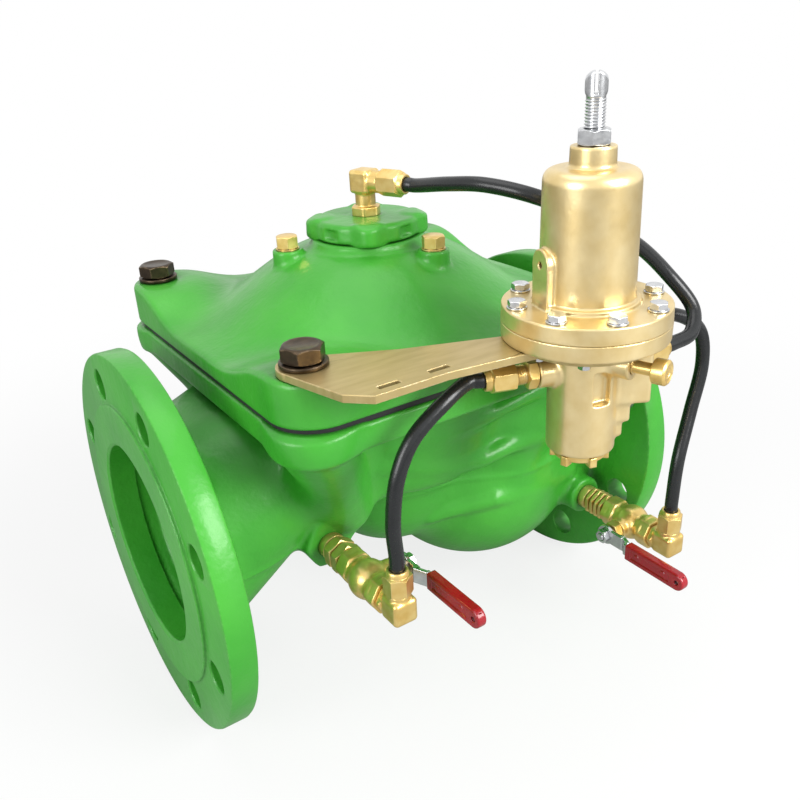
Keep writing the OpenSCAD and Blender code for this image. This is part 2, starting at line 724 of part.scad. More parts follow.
// Place at a distance from the pilot axis along a port
function port_point(port, reach) = [pilot_x + reach * cos(port[0]),
    pilot_y + reach * sin(port[0]), port[1]];

// Place above a tapping's elbow
function riser_point(tap, rise) = [tap[0], tap[1] - elbow_at, tap[2] + rise];

// Place along the cap elbow's outlet
function cap_point(reach) = [bonnet_x + reach * cos(cap_out_angle),
    reach * sin(cap_out_angle), cap_elbow_z];

// Straight end of a tube at a port: clear of its nut, at the nut's end and inside the fitting
function port_end(port) = [for (reach = [10, 0.5, -14.5]) port_point(port, port[2] + reach)];

// Straight end of a tube above a tapping's elbow
function riser_start(tap) = [for (rise = [14.5, 30.5, 40]) riser_point(tap, rise)];

module outlet_tube() color(BLACK) control_tube(concat(riser_start(outlet_tap),
    [[-91, -171, 62], [-86, -171, 92], [-73, -171, 115], [-50, -172, 132]],
    port_end(outlet_port)), [0, 1, 0]);

module cap_tube() color(BLACK) control_tube(concat(
    [for (reach = [-19.5, 0.5, 10]) cap_point(cap_nut_end + reach)],
    [[27, -78, 237], [35, -108, 239], [52, -137, 233], [86, -152, 216], [126, -158, 192],
        [151, -167, 167], [160, -182, 146], [147, -193, 133]],
    port_end(cap_port)), [0.5, 0.5, -0.7]);

module inlet_tube() color(BLACK) control_tube(concat(riser_start(inlet_tap),
    [[157, -186, 26], [172, -181, 60], [184, -178, 95], [181, -174, 122], [160, -166, 136],
        [128, -161, 135]],
    port_end(inlet_port)), [0, 1, 0.2]);

// ---------------------------------------------------------------- parts by name

valve_body();
seat_ring();
seat_o_ring();
main_diaphragm();
main_stem();
seal_disc();
disc_holder();
seal_retainer();
lower_stem_nut();
lower_diaphragm_washer();
upper_diaphragm_washer();
upper_stem_nut();
main_spring();
bonnet();
bonnet_bolts();
bonnet_washers();
centre_cap();
centre_cap_o_ring();
bonnet_plugs();
cap_elbow();
bracket();
pilot_body();
pilot_diaphragm();
pilot_spring_cover();
pilot_bolts();
bracket_screws();
pilot_spring();
pilot_lower_spring_seat();
pilot_upper_spring_seat();
adjusting_screw();
lock_nut();
pilot_stem();
pilot_seat();
pilot_bottom_plug();
pilot_test_plug();
pilot_port_fittings();
at_outlet_tap() nipple(2);  // outlet_nipple
at_outlet_tap() ball_valve_body();  // outlet_ball_valve
at_outlet_tap() ball();  // outlet_ball
at_outlet_tap() ball_seats();  // outlet_ball_seats
at_outlet_tap() valve_stem();  // outlet_valve_stem
at_outlet_tap() gland_nut();  // outlet_gland_nut
at_outlet_tap() lever();  // outlet_lever
at_outlet_tap() grip();  // outlet_grip
at_outlet_tap() lever_nut();  // outlet_lever_nut
at_outlet_tap() tap_elbow();  // outlet_elbow
at_inlet_tap() nipple(4);  // inlet_nipple
at_inlet_tap() ball_valve_body();  // inlet_ball_valve
at_inlet_tap() ball();  // inlet_ball
at_inlet_tap() ball_seats();  // inlet_ball_seats
at_inlet_tap() valve_stem();  // inlet_valve_stem
at_inlet_tap() gland_nut();  // inlet_gland_nut
at_inlet_tap() lever();  // inlet_lever
at_inlet_tap() grip();  // inlet_grip
at_inlet_tap() lever_nut();  // inlet_lever_nut
at_inlet_tap() tap_elbow();  // inlet_elbow
compression_nuts();
outlet_tube();
cap_tube();
inlet_tube();
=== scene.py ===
"""Pilot-operated pressure reducing valve: the looks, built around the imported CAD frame.

Castings are distance fields meshed on a grid; turned and hexagonal parts are lofted rings.
All shapes are in millimetres in the part's own frame and become metres in add_piece.
"""

import functools
import json
import math

import bmesh
import bpy
import numpy as np
from mathutils import Matrix, Vector

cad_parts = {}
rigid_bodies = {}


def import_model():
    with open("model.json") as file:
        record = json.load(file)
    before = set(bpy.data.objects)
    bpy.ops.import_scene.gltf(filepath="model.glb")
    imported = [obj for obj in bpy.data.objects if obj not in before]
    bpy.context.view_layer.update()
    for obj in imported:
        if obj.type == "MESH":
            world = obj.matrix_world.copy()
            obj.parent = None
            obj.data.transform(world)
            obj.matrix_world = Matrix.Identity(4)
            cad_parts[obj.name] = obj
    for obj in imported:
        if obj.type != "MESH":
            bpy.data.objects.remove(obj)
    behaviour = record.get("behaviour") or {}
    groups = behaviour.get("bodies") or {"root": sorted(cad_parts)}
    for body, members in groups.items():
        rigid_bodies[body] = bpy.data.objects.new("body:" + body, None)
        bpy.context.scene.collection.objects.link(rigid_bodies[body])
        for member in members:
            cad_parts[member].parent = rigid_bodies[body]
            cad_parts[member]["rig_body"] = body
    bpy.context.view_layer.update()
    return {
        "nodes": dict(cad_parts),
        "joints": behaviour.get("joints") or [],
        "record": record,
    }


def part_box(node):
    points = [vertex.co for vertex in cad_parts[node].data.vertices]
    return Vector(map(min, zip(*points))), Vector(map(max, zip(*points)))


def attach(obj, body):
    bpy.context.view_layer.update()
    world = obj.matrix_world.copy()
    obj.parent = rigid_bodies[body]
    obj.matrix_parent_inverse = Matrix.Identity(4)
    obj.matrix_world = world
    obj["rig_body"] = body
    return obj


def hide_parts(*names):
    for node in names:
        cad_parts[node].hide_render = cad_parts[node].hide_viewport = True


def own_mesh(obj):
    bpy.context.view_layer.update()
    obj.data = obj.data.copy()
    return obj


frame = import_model()
MM = 0.001


# ---------------------------------------------------------------- places read from the frame

def corners(node):
    low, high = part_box(node)
    return np.array(low) / MM, np.array(high) / MM


def middle(node):
    low, high = corners(node)
    return (low + high) / 2


FACE_X = corners("valve_body")[1][0]          # raised face of each pipe flange
FLANGE_R = -corners("valve_body")[0][2]
BONNET_Z, DOME_TOP = corners("bonnet")[0][2], corners("bonnet")[1][2]
SPLIT_Z = BONNET_Z - 4                        # top of the body, under the diaphragm
CAP_TOP = corners("centre_cap")[1][2]
STEM_X = middle("main_stem")[0]               # axis of the bonnet and main stem
STEM = (STEM_X, 0)
HALF = (corners("bonnet")[1][0] - corners("bonnet")[0][0]) / 2
BOLT_PITCH = middle("bonnet_washers")[1] + (corners("bonnet_washers")[1][1]) - 15
CORNER_Z = corners("bracket")[0][2]           # bolt seats on the bonnet corners
PILOT = tuple(middle("pilot_stem")[:2])       # axis of the pilot
PILOT_X, PILOT_Y = PILOT
FLANGE_Z = corners("bracket")[1][2]           # underside of the pilot flange
PILOT_FLANGE_R = (corners("pilot_spring_cover")[1][0] - corners("pilot_spring_cover")[0][0]) / 2
JOINT_Z = corners("pilot_body")[1][2]         # diaphragm plane of the pilot
NECK_TOP = corners("pilot_spring_cover")[1][2]
BORE_R = 75.0
CORNER_R = 32.0
HOLE_R = 11.5
BOLT_CIRCLE_R = 120.0
THREAD_END = 98.0                             # how low the bonnet bolts reach
FIT = 0.05


# ---------------------------------------------------------------- meshes from rings

def bodies_of(node):
    return frame["nodes"][node]["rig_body"]


def slot_of(node):
    return next(s["material_slot"] for s in frame["record"]["subparts"] if s["node"] == node)


def add_piece(name, verts, faces, node, sharp=38.0):
    """A mesh that stands for a CAD node, on that node's body and in its material."""
    mesh = bpy.data.meshes.new(name)
    mesh.from_pydata((np.asarray(verts) * MM).tolist(), [], [list(f) for f in faces])
    mesh.validate()
    clean = bmesh.new()
    clean.from_mesh(mesh)
    bmesh.ops.remove_doubles(clean, verts=clean.verts, dist=1e-6)
    bmesh.ops.recalc_face_normals(clean, faces=clean.faces)
    clean.to_mesh(mesh)
    clean.free()
    mesh.shade_smooth()
    mesh.set_sharp_from_angle(angle=math.radians(sharp))
    piece = bpy.data.objects.new(name, mesh)
    bpy.context.scene.collection.objects.link(piece)
    mesh.materials.append(MATERIALS[slot_of(node)])
    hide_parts(node)
    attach(piece, bodies_of(node))
    return piece


def loft(rings, closed):
    """Faces between equal rings. Closed: the last ring joins the first. Open: flat ends."""
    count = len(rings[0])
    total = len(rings)
    faces = []
    for i in range(total if closed else total - 1):
        a, b = i * count, (i + 1) % total * count
        faces += [(a + k, a + (k + 1) % count, b + (k + 1) % count, b + k) for k in range(count)]
    if not closed:
        faces.append(tuple(range(count))[::-1])
        faces.append(tuple((total - 1) * count + k for k in range(count)))
    return np.vstack(rings), faces


SIDES = 72
CHAMFER = 0.47       # where a hexagon's turned chamfer ends, as a share of its width
TUBE_SIDES = 28
TURN = np.arange(SIDES) * 2 * math.pi / SIDES
HEX_SPREAD = 1 / np.cos((TURN + math.pi / 6) % (math.pi / 3) - math.pi / 6)


def disc(r, z):
    return np.c_[r * np.cos(TURN), r * np.sin(TURN), np.full(SIDES, float(z))]


def hexagon(af, z, slope=0.0):
    """Ring on a hexagon. A slope drops its corners, as a turned chamfer does."""
    r = af / 2 * HEX_SPREAD
    ring = disc(1.0, 0.0) * r[:, None]
    ring[:, 2] = z + slope * (r - CHAMFER * af) * 0.577
    return ring


def hex_rings(af, a, b):
    return [disc(CHAMFER * af, a), hexagon(af, a, 1), hexagon(af, b, -1), disc(CHAMFER * af, b)]


def round_rings(*steps):
    return [disc(r, z) for r, z in steps]


def rim(r, a, b, soft=0.6):
    """Cylinder from a to b with small round edges."""
    return round_rings((r - soft, a), (r - soft * 0.3, a + soft * 0.3), (r, a + soft),
                       (r, b - soft), (r - soft * 0.3, b - soft * 0.3), (r - soft, b))


def thread(r, depth, pitch, a, b):
    """Rings of a helical thread."""
    rings = []
    for z in np.arange(a, b, pitch / 6):
        phase = (z / pitch - TURN / (2 * math.pi)) % 1.0
        ring = disc(1.0, 0.0) * (r - depth * np.abs(2 * phase - 1))[:, None]
        ring[:, 2] = z
        rings.append(ring)
    return rings


def placed(points, origin, axis, side=None):
    """Moves points from a local frame, whose Z is the axis, into the part's frame."""
    z = np.array(axis, float)
    z /= np.linalg.norm(z)
    side = np.array(side if side is not None else ((1, 0, 0) if abs(z[0]) < 0.9 else (0, 1, 0)), float)
    x = side - z * (side @ z)
    x /= np.linalg.norm(x)
    y = np.cross(z, x)
    return np.asarray(points) @ np.array([x, y, z]) + np.array(origin, float)


def set_at(solid, origin, axis=(0, 0, 1), side=None):
    """A solid along Z, moved so that it starts from origin and runs along axis."""
    return placed(solid[0], origin, axis, side), solid[1]


def heading(angle):
    """Level direction at an angle in degrees."""
    return math.cos(math.radians(angle)), math.sin(math.radians(angle)), 0


def turned(rings, bore=None):
    """A turned part along Z: solid, or with a bore of radius bore or (radius, radius) at its ends."""
    if bore is None:
        return loft(rings, False)
    first, last = rings[0][:, 2].min(), rings[-1][:, 2].max()
    start, end = bore if isinstance(bore, tuple) else (bore, bore)
    lip = 0.4
    inner = round_rings((end + lip, last), (end, last - lip), (start, first + lip), (start + lip, first))
    return loft(rings + inner, True)


def joined(parts):
    verts, faces, base = [], [], 0
    for v, f in parts:
        verts.append(v)
        faces += [tuple(i + base for i in face) for face in f]
        base += len(v)
    return np.vstack(verts), faces


def curve_through(points, per_span):
    """Catmull-Rom curve through the points."""
    p = [np.array(q, float) for q in points]
    out = []
    for i in range(len(p) - 1):
        a, b, c, d = p[max(i - 1, 0)], p[i], p[i + 1], p[min(i + 2, len(p) - 1)]
        for u in np.arange(per_span) / per_span:
            out.append(0.5 * (2 * b + (c - a) * u + (2 * a - 5 * b + 4 * c - d) * u ** 2
                              + (3 * b - a - 3 * c + d) * u ** 3))
    return np.array(out + [p[-1]])


def swept(path, radius):
    """Rings of a circle carried along a path, without twist."""
    ahead = np.gradient(path, axis=0)
    ahead /= np.linalg.norm(ahead, axis=1)[:, None]
    side = np.cross(ahead[0], (0.3, 0.5, 0.81))
    rings = []
    angles = np.arange(TUBE_SIDES) * 2 * math.pi / TUBE_SIDES
    for point, t in zip(path, ahead):
        side = side - t * (side @ t)
        side /= np.linalg.norm(side)
        up = np.cross(t, side)
        rings.append(point + radius * (np.cos(angles)[:, None] * side + np.sin(angles)[:, None] * up))
    return rings


# ---------------------------------------------------------------- castings from distance fields

def size(*parts):
    return np.sqrt(sum(p * p for p in parts))


def fuse(a, b, k):
    """Smooth union with a fillet of about k."""
    h = np.clip(0.5 + 0.5 * (b - a) / k, 0, 1)
    return b + (a - b) * h - k * h * (1 - h)


def cut(a, b, k):
    """a without b, with a rounded edge of about k."""
    return -fuse(-a, b, k)


def both(a, b, k):
    """What a and b have in common, with a rounded edge of about k."""
    return -fuse(-a, -b, k)


def nearest(shapes):
    """Sharp union."""
    return functools.reduce(np.minimum, shapes)


def ball(p, centre, r):
    return size(p[0] - centre[0], p[1] - centre[1], p[2] - centre[2]) - r


def rod(p, a, b, ra, rb):
    """Round rod whose radius goes from ra at a to rb at b."""
    a, b = np.array(a, float), np.array(b, float)
    d = b - a
    h = np.clip(sum((p[i] - a[i]) * d[i] for i in range(3)) / (d @ d), 0, 1)
    return size(*[p[i] - a[i] - h * d[i] for i in range(3)]) - (ra + (rb - ra) * h)


def post(p, centre, ra, rb, a, b, k=1.0):
    """Upright cylinder or cone from z = a to z = b about a centre, with rounded ends."""
    h = np.clip((p[2] - a) / (b - a), 0, 1)
    wall = size(p[0] - centre[0], p[1] - centre[1]) - (ra + (rb - ra) * h)
    return both(wall, np.maximum(a - p[2], p[2] - b), k)


def bar(p, a, b, r, k=1.0):
    """Cylinder with flat ends from point a to point b."""
    a, b = np.array(a, float), np.array(b, float)
    reach = np.linalg.norm(b - a)
    n = (b - a) / reach
    t = sum((p[i] - a[i]) * n[i] for i in range(3))
    wall = size(*[p[i] - a[i] - t * n[i] for i in range(3)]) - r
    return both(wall, np.maximum(-t, t - reach), k)


def hex_bar(p, a, b, af, up, k=0.5):
    """Hexagonal bar from point a to point b, with a flat towards up."""
    a, b, up = np.array(a, float), np.array(b, float), np.array(up, float)
    reach = np.linalg.norm(b - a)
    n = (b - a) / reach
    side = np.cross(n, up)
    q = [p[i] - a[i] for i in range(3)]
    t, u, v = [sum(q[i] * w[i] for i in range(3)) for w in (n, up, side)]
    wall = np.maximum(np.abs(u), np.maximum(np.abs(0.5 * u + 0.866 * v), np.abs(0.5 * u - 0.866 * v)))
    wall = both(wall - af / 2, size(u, v) - af * 0.56, k)
    return both(wall, np.maximum(-t, t - reach), k)


def block(p, low, high, r, turn=0.0, about=(0, 0)):
    """Box with round edges, turned about a vertical axis."""
    c, s = math.cos(turn), math.sin(turn)
    x, y = p[0] - about[0], p[1] - about[1]
    q = (c * x + s * y, c * y - s * x, p[2])
    d = [np.abs(q[i] - (low[i] + high[i]) / 2) - (high[i] - low[i]) / 2 + r for i in range(3)]
    return size(*[np.maximum(e, 0) for e in d]) + np.minimum(np.maximum(d[0], np.maximum(d[1], d[2])), 0) - r


def plate(p, half, corner, a, b, k):
    """Rounded square about the bonnet axis, from z = a to z = b."""
    dx = np.abs(p[0] - STEM_X) - half + corner
    dy = np.abs(p[1]) - half + corner
    wall = size(np.maximum(dx, 0), np.maximum(dy, 0)) + np.minimum(np.maximum(dx, dy), 0) - corner
    return both(wall, np.maximum(a - p[2], p[2] - b), k)


def surface_net(field, low, high, step):
    """Quads round the zero level of a distance field, pulled onto it."""
    low, high = np.array(low, float), np.array(high, float)
    counts = np.ceil((high - low) / step).astype(int) + 1
    line = [low[i] + step * np.arange(counts[i]) for i in range(3)]
    value = field(np.meshgrid(*line, indexing="ij", sparse=True))
    inside = value < 0
    cells = tuple(counts - 1)
    offsets = [(i, j, k) for i in (0, 1) for j in (0, 1) for k in (0, 1)]
    hit = sum(inside[o[0]:o[0] + cells[0], o[1]:o[1] + cells[1], o[2]:o[2] + cells[2]].astype(np.int8)
              for o in offsets)
    active = (hit > 0) & (hit < 8)
    cell = np.argwhere(active)
    number = np.full(cells, -1)
    number[active] = np.arange(len(cell))
    at_corner = {o: value[tuple((cell + o).T)] for o in offsets}
    total, crossings = np.zeros((len(cell), 3)), np.zeros(len(cell))
    for o in offsets:
        for axis in range(3):
            if o[axis]:
                continue
            other = tuple(1 if i == axis else o[i] for i in range(3))
            fa, fb = at_corner[o], at_corner[other]
            crossing = (fa < 0) != (fb < 0)
            point = cell + np.array(o, float)
            point[:, axis] += np.where(crossing, fa / np.where(crossing, fa - fb, 1), 0)
            total += crossing[:, None] * point
            crossings += crossing
    verts = low + step * total / crossings[:, None]
    faces = []
    for axis in range(3):
        u, v = (axis + 1) % 3, (axis + 2) % 3
        near = np.moveaxis(inside, axis, 0)
        changed = np.moveaxis(near[:-1] != near[1:], 0, axis)
        edge = np.argwhere(changed)
        edge = edge[(edge[:, u] > 0) & (edge[:, v] > 0) & (edge[:, u] < cells[u]) & (edge[:, v] < cells[v])]
        eu, ev = np.eye(3, dtype=int)[u], np.eye(3, dtype=int)[v]
        quad = np.stack([number[tuple((edge - eu - ev).T)], number[tuple((edge - ev).T)],
                         number[tuple(edge.T)], number[tuple((edge - eu).T)]], 1)
        outward = inside[tuple(edge.T)]
        faces.append(np.where(outward[:, None], quad, quad[:, ::-1]))
    for _ in range(3):
        here = field(list(verts.T))
        nudge = 0.05 * step
        slope = np.stack([(field([verts[:, j] + nudge * (i == j) for j in range(3)]) - here) / nudge
                          for i in range(3)], 1)
        move = -slope * (here / np.maximum((slope ** 2).sum(1), 0.2))[:, None]
        reach = np.linalg.norm(move, axis=1)
        verts += move * np.minimum(1, 0.4 * step / np.maximum(reach, 1e-9))[:, None]
    return verts, np.vstack(faces)


def casting(name, field, low, high, step, node):
    """A piece with no sharp edges, meshed from a distance field within a box."""
    add_piece(name, *surface_net(field, low, high, step), node, sharp=180.0)


# ---------------------------------------------------------------- materials

def feed(tree, node, feeds):
    """Gives inputs of a shader node a value, or a link from the socket that feeds them."""
    for key, source in feeds.items():
        if hasattr(source, "links"):
            tree.links.new(source, node.inputs[key])
        else:
            node.inputs[key].default_value = source
    return node


def add_node(tree, kind, feeds, **settings):
    node = tree.nodes.new("ShaderNode" + kind)
    for key, value in settings.items():
        setattr(node, key, value)
    return feed(tree, node, feeds)


def value_ramp(tree, source, low, high):
    """Clamped map of source from low..high to 0..1."""
    return add_node(tree, "MapRange", {"Value": source, "From Min": low, "From Max": high}).outputs["Result"]


def noise(tree, place, scale, detail=3.0):
    return add_node(tree, "TexNoise", {"Vector": place, "Scale": scale, "Detail": detail}).outputs["Fac"]


def product(tree, a, b):
    return add_node(tree, "Math", {0: a, 1: b}, operation="MULTIPLY").outputs[0]


def mixed(tree, factor, a, b):
    """Colour mix; a and b are colours or sockets."""
    a, b = (c if hasattr(c, "links") else (*c, 1) for c in (a, b))
    return add_node(tree, "Mix", {0: factor, 6: a, 7: b}, data_type="RGBA").outputs[2]


MATERIALS = {}


def finish_material(name, light, dark, metal, rough, rough_spread, patch_scale, bumps,
                    worn=None, wear=(0.06, 0.25), edge=0.0006, coat=0.0, stretch=(1, 1, 1),
                    painted_crevice_shade=0.5, specular=0.5):
    """Two-tone surface with patches, rough spots, layered bumps, soft edges, edge wear and painted shade in
    crevices.

    bumps is a list of (scale per metre, height in metres)."""
    mat = bpy.data.materials.new(name)
    mat.use_nodes = True
    tree = mat.node_tree
    coords = add_node(tree, "TexCoord", {}).outputs["Object"]
    place = add_node(tree, "Mapping", {"Vector": coords, "Scale": stretch}).outputs["Vector"]
    colour = mixed(tree, value_ramp(tree, noise(tree, place, patch_scale), 0.3, 0.7), light, dark)
    normal = add_node(tree, "Bevel", {"Radius": edge}, samples=4).outputs["Normal"]
    if worn is not None:
        broad = add_node(tree, "Bevel", {"Radius": edge * 2.2}, samples=4).outputs["Normal"]
        flat = add_node(tree, "NewGeometry", {}).outputs["Normal"]
        bend = add_node(tree, "VectorMath", {0: broad, 1: flat}, operation="DOT_PRODUCT").outputs["Value"]
        edges = value_ramp(tree, bend, 1.0 - wear[0], 1.0 - wear[1])
        spots = value_ramp(tree, noise(tree, coords, 260, 4.0), 0.45, 0.62)
        colour = mixed(tree, product(tree, edges, spots), colour, worn)
    # painted shade: colour is pulled towards a dark tone where ambient occlusion finds hollows and creases
    if painted_crevice_shade:
        shade = add_node(tree, "AmbientOcclusion", {"Distance": 0.012}, samples=4)
        hollow = value_ramp(tree, shade.outputs["AO"], 0.85, 0.25)
        colour = mixed(tree, product(tree, hollow, painted_crevice_shade), colour, tuple(c * 0.35 for c in dark))
    for scale, height in bumps:
        normal = add_node(tree, "Bump", {"Strength": 1.0, "Distance": height, "Normal": normal,
                                         "Height": noise(tree, place, scale, 2.0)}).outputs["Normal"]
    spread = add_node(tree, "MapRange", {"To Min": rough - rough_spread, "To Max": rough + rough_spread,
                                         "Value": noise(tree, place, patch_scale * 2.7, 4.0)})
    feed(tree, tree.nodes["Principled BSDF"], {
        "Base Color": colour, "Roughness": spread.outputs["Result"], "Normal": normal, "Metallic": metal,
        "Specular IOR Level": specular, "Coat Weight": coat, "Coat Roughness": 0.12})
    MATERIALS[name] = mat


finish_material(
    "green_paint", (0.070, 0.45, 0.040), (0.042, 0.35, 0.028), 0.0, 0.34, 0.07, 14,
    [(90, 0.0006), (380, 0.00014)], worn=(0.20, 0.58, 0.15), wear=(0.05, 0.30), edge=0.0014,
    coat=0.12, painted_crevice_shade=0.9, specular=0.42)
finish_material(
    "cast_brass", (0.92, 0.75, 0.41), (0.80, 0.61, 0.28), 0.82, 0.31, 0.06, 60,
    [(600, 0.00003), (160, 0.00010)], worn=(0.98, 0.86, 0.60), edge=0.0006)
finish_material(
    "machined_brass", (0.93, 0.70, 0.28), (0.80, 0.54, 0.16), 0.8, 0.31, 0.06, 120,
    [(700, 0.000015)], worn=(0.97, 0.84, 0.52), edge=0.0005)
finish_material(
    "plated_plate", (0.60, 0.47, 0.22), (0.50, 0.38, 0.16), 0.75, 0.36, 0.06, 35,
    [(900, 0.00003)], worn=(0.90, 0.78, 0.52), wear=(0.02, 0.2), edge=0.0006, stretch=(1, 6, 1))
finish_material(
    "dark_bolt", (0.10, 0.072, 0.045), (0.055, 0.040, 0.028), 1.0, 0.34, 0.08, 150,
    [(500, 0.00008)], worn=(0.42, 0.30, 0.18), edge=0.0008)
finish_material(
    "bright_steel", (0.74, 0.75, 0.76), (0.60, 0.61, 0.63), 1.0, 0.24, 0.07, 200,
    [(700, 0.000012)], worn=(0.9, 0.9, 0.9), edge=0.0003)
finish_material(
    "coated_iron", (0.06, 0.06, 0.065), (0.04, 0.04, 0.045), 0.0, 0.5, 0.08, 40,
    [(300, 0.0002)], edge=0.0008)
finish_material(
    "black_rubber", (0.022, 0.022, 0.024), (0.014, 0.014, 0.016), 0.0, 0.62, 0.08, 60,
    [(600, 0.00008)], edge=0.0005)
finish_material(
    "tube_plastic", (0.012, 0.014, 0.015), (0.008, 0.009, 0.010), 0.0, 0.27, 0.06, 70,
    [(240, 0.00010)], edge=0.0003, painted_crevice_shade=0.0)
finish_material(
    "red_grip", (0.40, 0.005, 0.015), (0.31, 0.003, 0.010), 0.0, 0.24, 0.05, 90,
    [(300, 0.00004)], edge=0.0006, coat=0.4)
finish_material(
    "ptfe", (0.86, 0.86, 0.83), (0.80, 0.80, 0.77), 0.0, 0.45, 0.05, 60,
    [(500, 0.00004)], edge=0.0003)
for row in frame["record"]["subparts"]:
    cad_mesh = frame["nodes"][row["node"]].data
    cad_mesh.materials.clear()
    cad_mesh.materials.append(MATERIALS[row["material_slot"]])


# ---------------------------------------------------------------- main castings

NECK_X = FACE_X - 24                          # back of each pipe flange
DUCT_END = (60.0, 40.0, 70.0)                 # how far the outlet duct runs, spreads and rises
CHAMBER_FLOOR = 30.0


def outlet_duct(p, grow):
    """Duct from the outlet flange up to the diaphragm chamber."""
    t = np.clip((p[0] + NECK_X) / (NECK_X - DUCT_END[0]), 0, 1)
    r = BORE_R + (36 - BORE_R) * t
    wall = size(np.maximum(np.abs(p[1]) - DUCT_END[1] * t, 0), p[2] - DUCT_END[2] * t) - r - grow
    return np.maximum(wall * 0.85, p[0] + 5)


def along_axis(p, r, a, b, k):
    """Cylinder on the pipe axis."""
    return both(size(p[1], p[2]) + 0 * p[0] - r, np.maximum(a - p[0], p[0] - b), k)


def at_corners(p, shape):
    """Smallest of a shape over the four bonnet bolts; the shape takes p and the two signs."""
    return nearest(shape(p, sx, sy) for sx in (-1, 1) for sy in (-1, 1))


def corner_pillar(p, sx, sy):
    low = (STEM_X + sx * (BOLT_PITCH - 46), sy * (BOLT_PITCH - 46), 16)
    high = (STEM_X + sx * (BOLT_PITCH - 5), sy * (BOLT_PITCH - 5), SPLIT_Z - 8)
    return np.maximum(rod(p, low, high, 12, 29), p[2] - SPLIT_Z + 4)


EIGHTHS = [22.5 + 45 * k for k in range(8)]   # angles of eight bolts on a circle
# courses of the cast ridges on one side, each a chain of points
RIDGES = (((-40, 90, 66), (0, 100, 67), (45, 100, 68), (94, 106, 80)),
          ((-45, 86, 50), (-5, 97, 39), (38, 96, 29), (92, 98, 36)),
          ((15, 60, -32), (60, 86, -20), (141, 86, -22)))


def belly_ridges(p):
    """Cast ridges that sweep round the belly towards the inlet, the same on both sides."""
    q = (p[0], np.abs(p[1]), p[2])
    return nearest(rod(q, line[k], line[k + 1], 4.5 + k, 5.5 + k)
                   for line in RIDGES for k in range(len(line) - 1))


def flange_holes(p):
    """Bolt holes of both pipe flanges, without ends."""
    to_axis = nearest(size(p[1] - BOLT_CIRCLE_R * math.cos(a), p[2] - BOLT_CIRCLE_R * math.sin(a))
                      for a in np.radians(EIGHTHS))
    return to_axis - HOLE_R - 0.4 + 0 * p[0]


def body_field(p):
    shell = outlet_duct(p, 10)
    shell = fuse(shell, post(p, STEM, 99, 113, 16, SPLIT_Z - 3, 16), 22)
    shell = fuse(shell, ball(p, (12, 0, 0), 70), 20)
    shell = fuse(shell, ball(p, (100, 0, -20), 96), 16)
    shell = fuse(shell, along_axis(p, BORE_R + 12, 120, FACE_X - 8, 1), 14)
    seam = 0.9 * np.exp(-(p[2] / 2.0) ** 2)
    shell = shell - seam
    shell = fuse(shell, at_corners(p, corner_pillar), 26)
    shell = fuse(shell, ball((p[0], np.abs(p[1]), p[2]), (88, 68, 52), 37), 20)
    shell = fuse(shell, belly_ridges(p), 7)
    shell = fuse(shell, plate(p, HALF, CORNER_R, SPLIT_Z - 18, SPLIT_Z, 3), 9)
    shell = fuse(shell, along_axis(p, FLANGE_R - 4, FACE_X - 22, FACE_X - 7, 1), 13)
    shell = fuse(shell, along_axis(p, FLANGE_R - 4, 7 - FACE_X, 22 - FACE_X, 1), 13)
    ox, oy, oz = OUTLET_TAP
    shell = fuse(shell, hex_bar(p, (ox, oy + 45, oz), (ox, oy, oz), 35, (0, 0, 1), 2.5), 9)
    ix, iy, iz = INLET_TAP
    shell = fuse(shell, bar(p, (ix, iy + 45, iz), (ix, iy, iz), 16, 2.5), 9)
    # hollows
    bowl = fuse(ball(p, (12, 0, 0), 60), ball(p, (100, 0, -20), 85), 6)
    bowl = cut(bowl, post(p, STEM, 99, 113, 16, SPLIT_Z - 3, 12), 5)
    shell = cut(shell, bowl, 4)
    shell = cut(shell, along_axis(p, BORE_R + 0.4, 150, FACE_X + 5, 1), 4)
    shell = cut(shell, along_axis(p, BORE_R + 0.4, -FACE_X - 5, 8 - NECK_X, 1), 4)
    shell = cut(shell, outlet_duct(p, 0), 4)
    shell = cut(shell, post(p, STEM, 88, 104, CHAMBER_FLOOR, SPLIT_Z + 5, 6), 4)
    shell = cut(shell, post(p, STEM, 64, 64, 0, CHAMBER_FLOOR + 5, 1), 1)
    shell = cut(shell, np.maximum(flange_holes(p), FACE_X - 30 - np.abs(p[0])), 1)
    shell = cut(shell, bar(p, (ox, oy + 16, oz), (ox, oy - 3, oz), 8.4, 1), 1)
    shell = cut(shell, bar(p, (ix, iy + 16, iz), (ix, iy - 3, iz), 8.4, 1), 1)

    def bolt_hole(q, sx, sy):
        return post(q, (STEM_X + sx * BOLT_PITCH, sy * BOLT_PITCH), 8.1, 8.1, THREAD_END, SPLIT_Z + 5, 0.5)

    return cut(shell, at_corners(p, bolt_hole), 0.8)


def bonnet_height(p):
    """Height of the bonnet's top: a dome that sweeps down to high corners and a thin edge between them."""
    across, along = p[0] - STEM_X, p[1] + 0 * p[0]
    t = np.clip((size(across, along) - 34) / 124, 0, 1)
    dome = BONNET_Z + 8 + (DOME_TOP - 5 - BONNET_Z - 8) * (0.5 + 0.5 * np.cos(math.pi * t))
    from_bolt = size(np.abs(across) - BOLT_PITCH, np.abs(along) - BOLT_PITCH)
    corner = np.clip(1 - (from_bolt - 21) / 74, 0, 1)
    skirt = BONNET_Z + 8 + (CORNER_Z - BONNET_Z - 8) * corner * corner * (3 - 2 * corner)
    return -fuse(-dome, -skirt, 16)


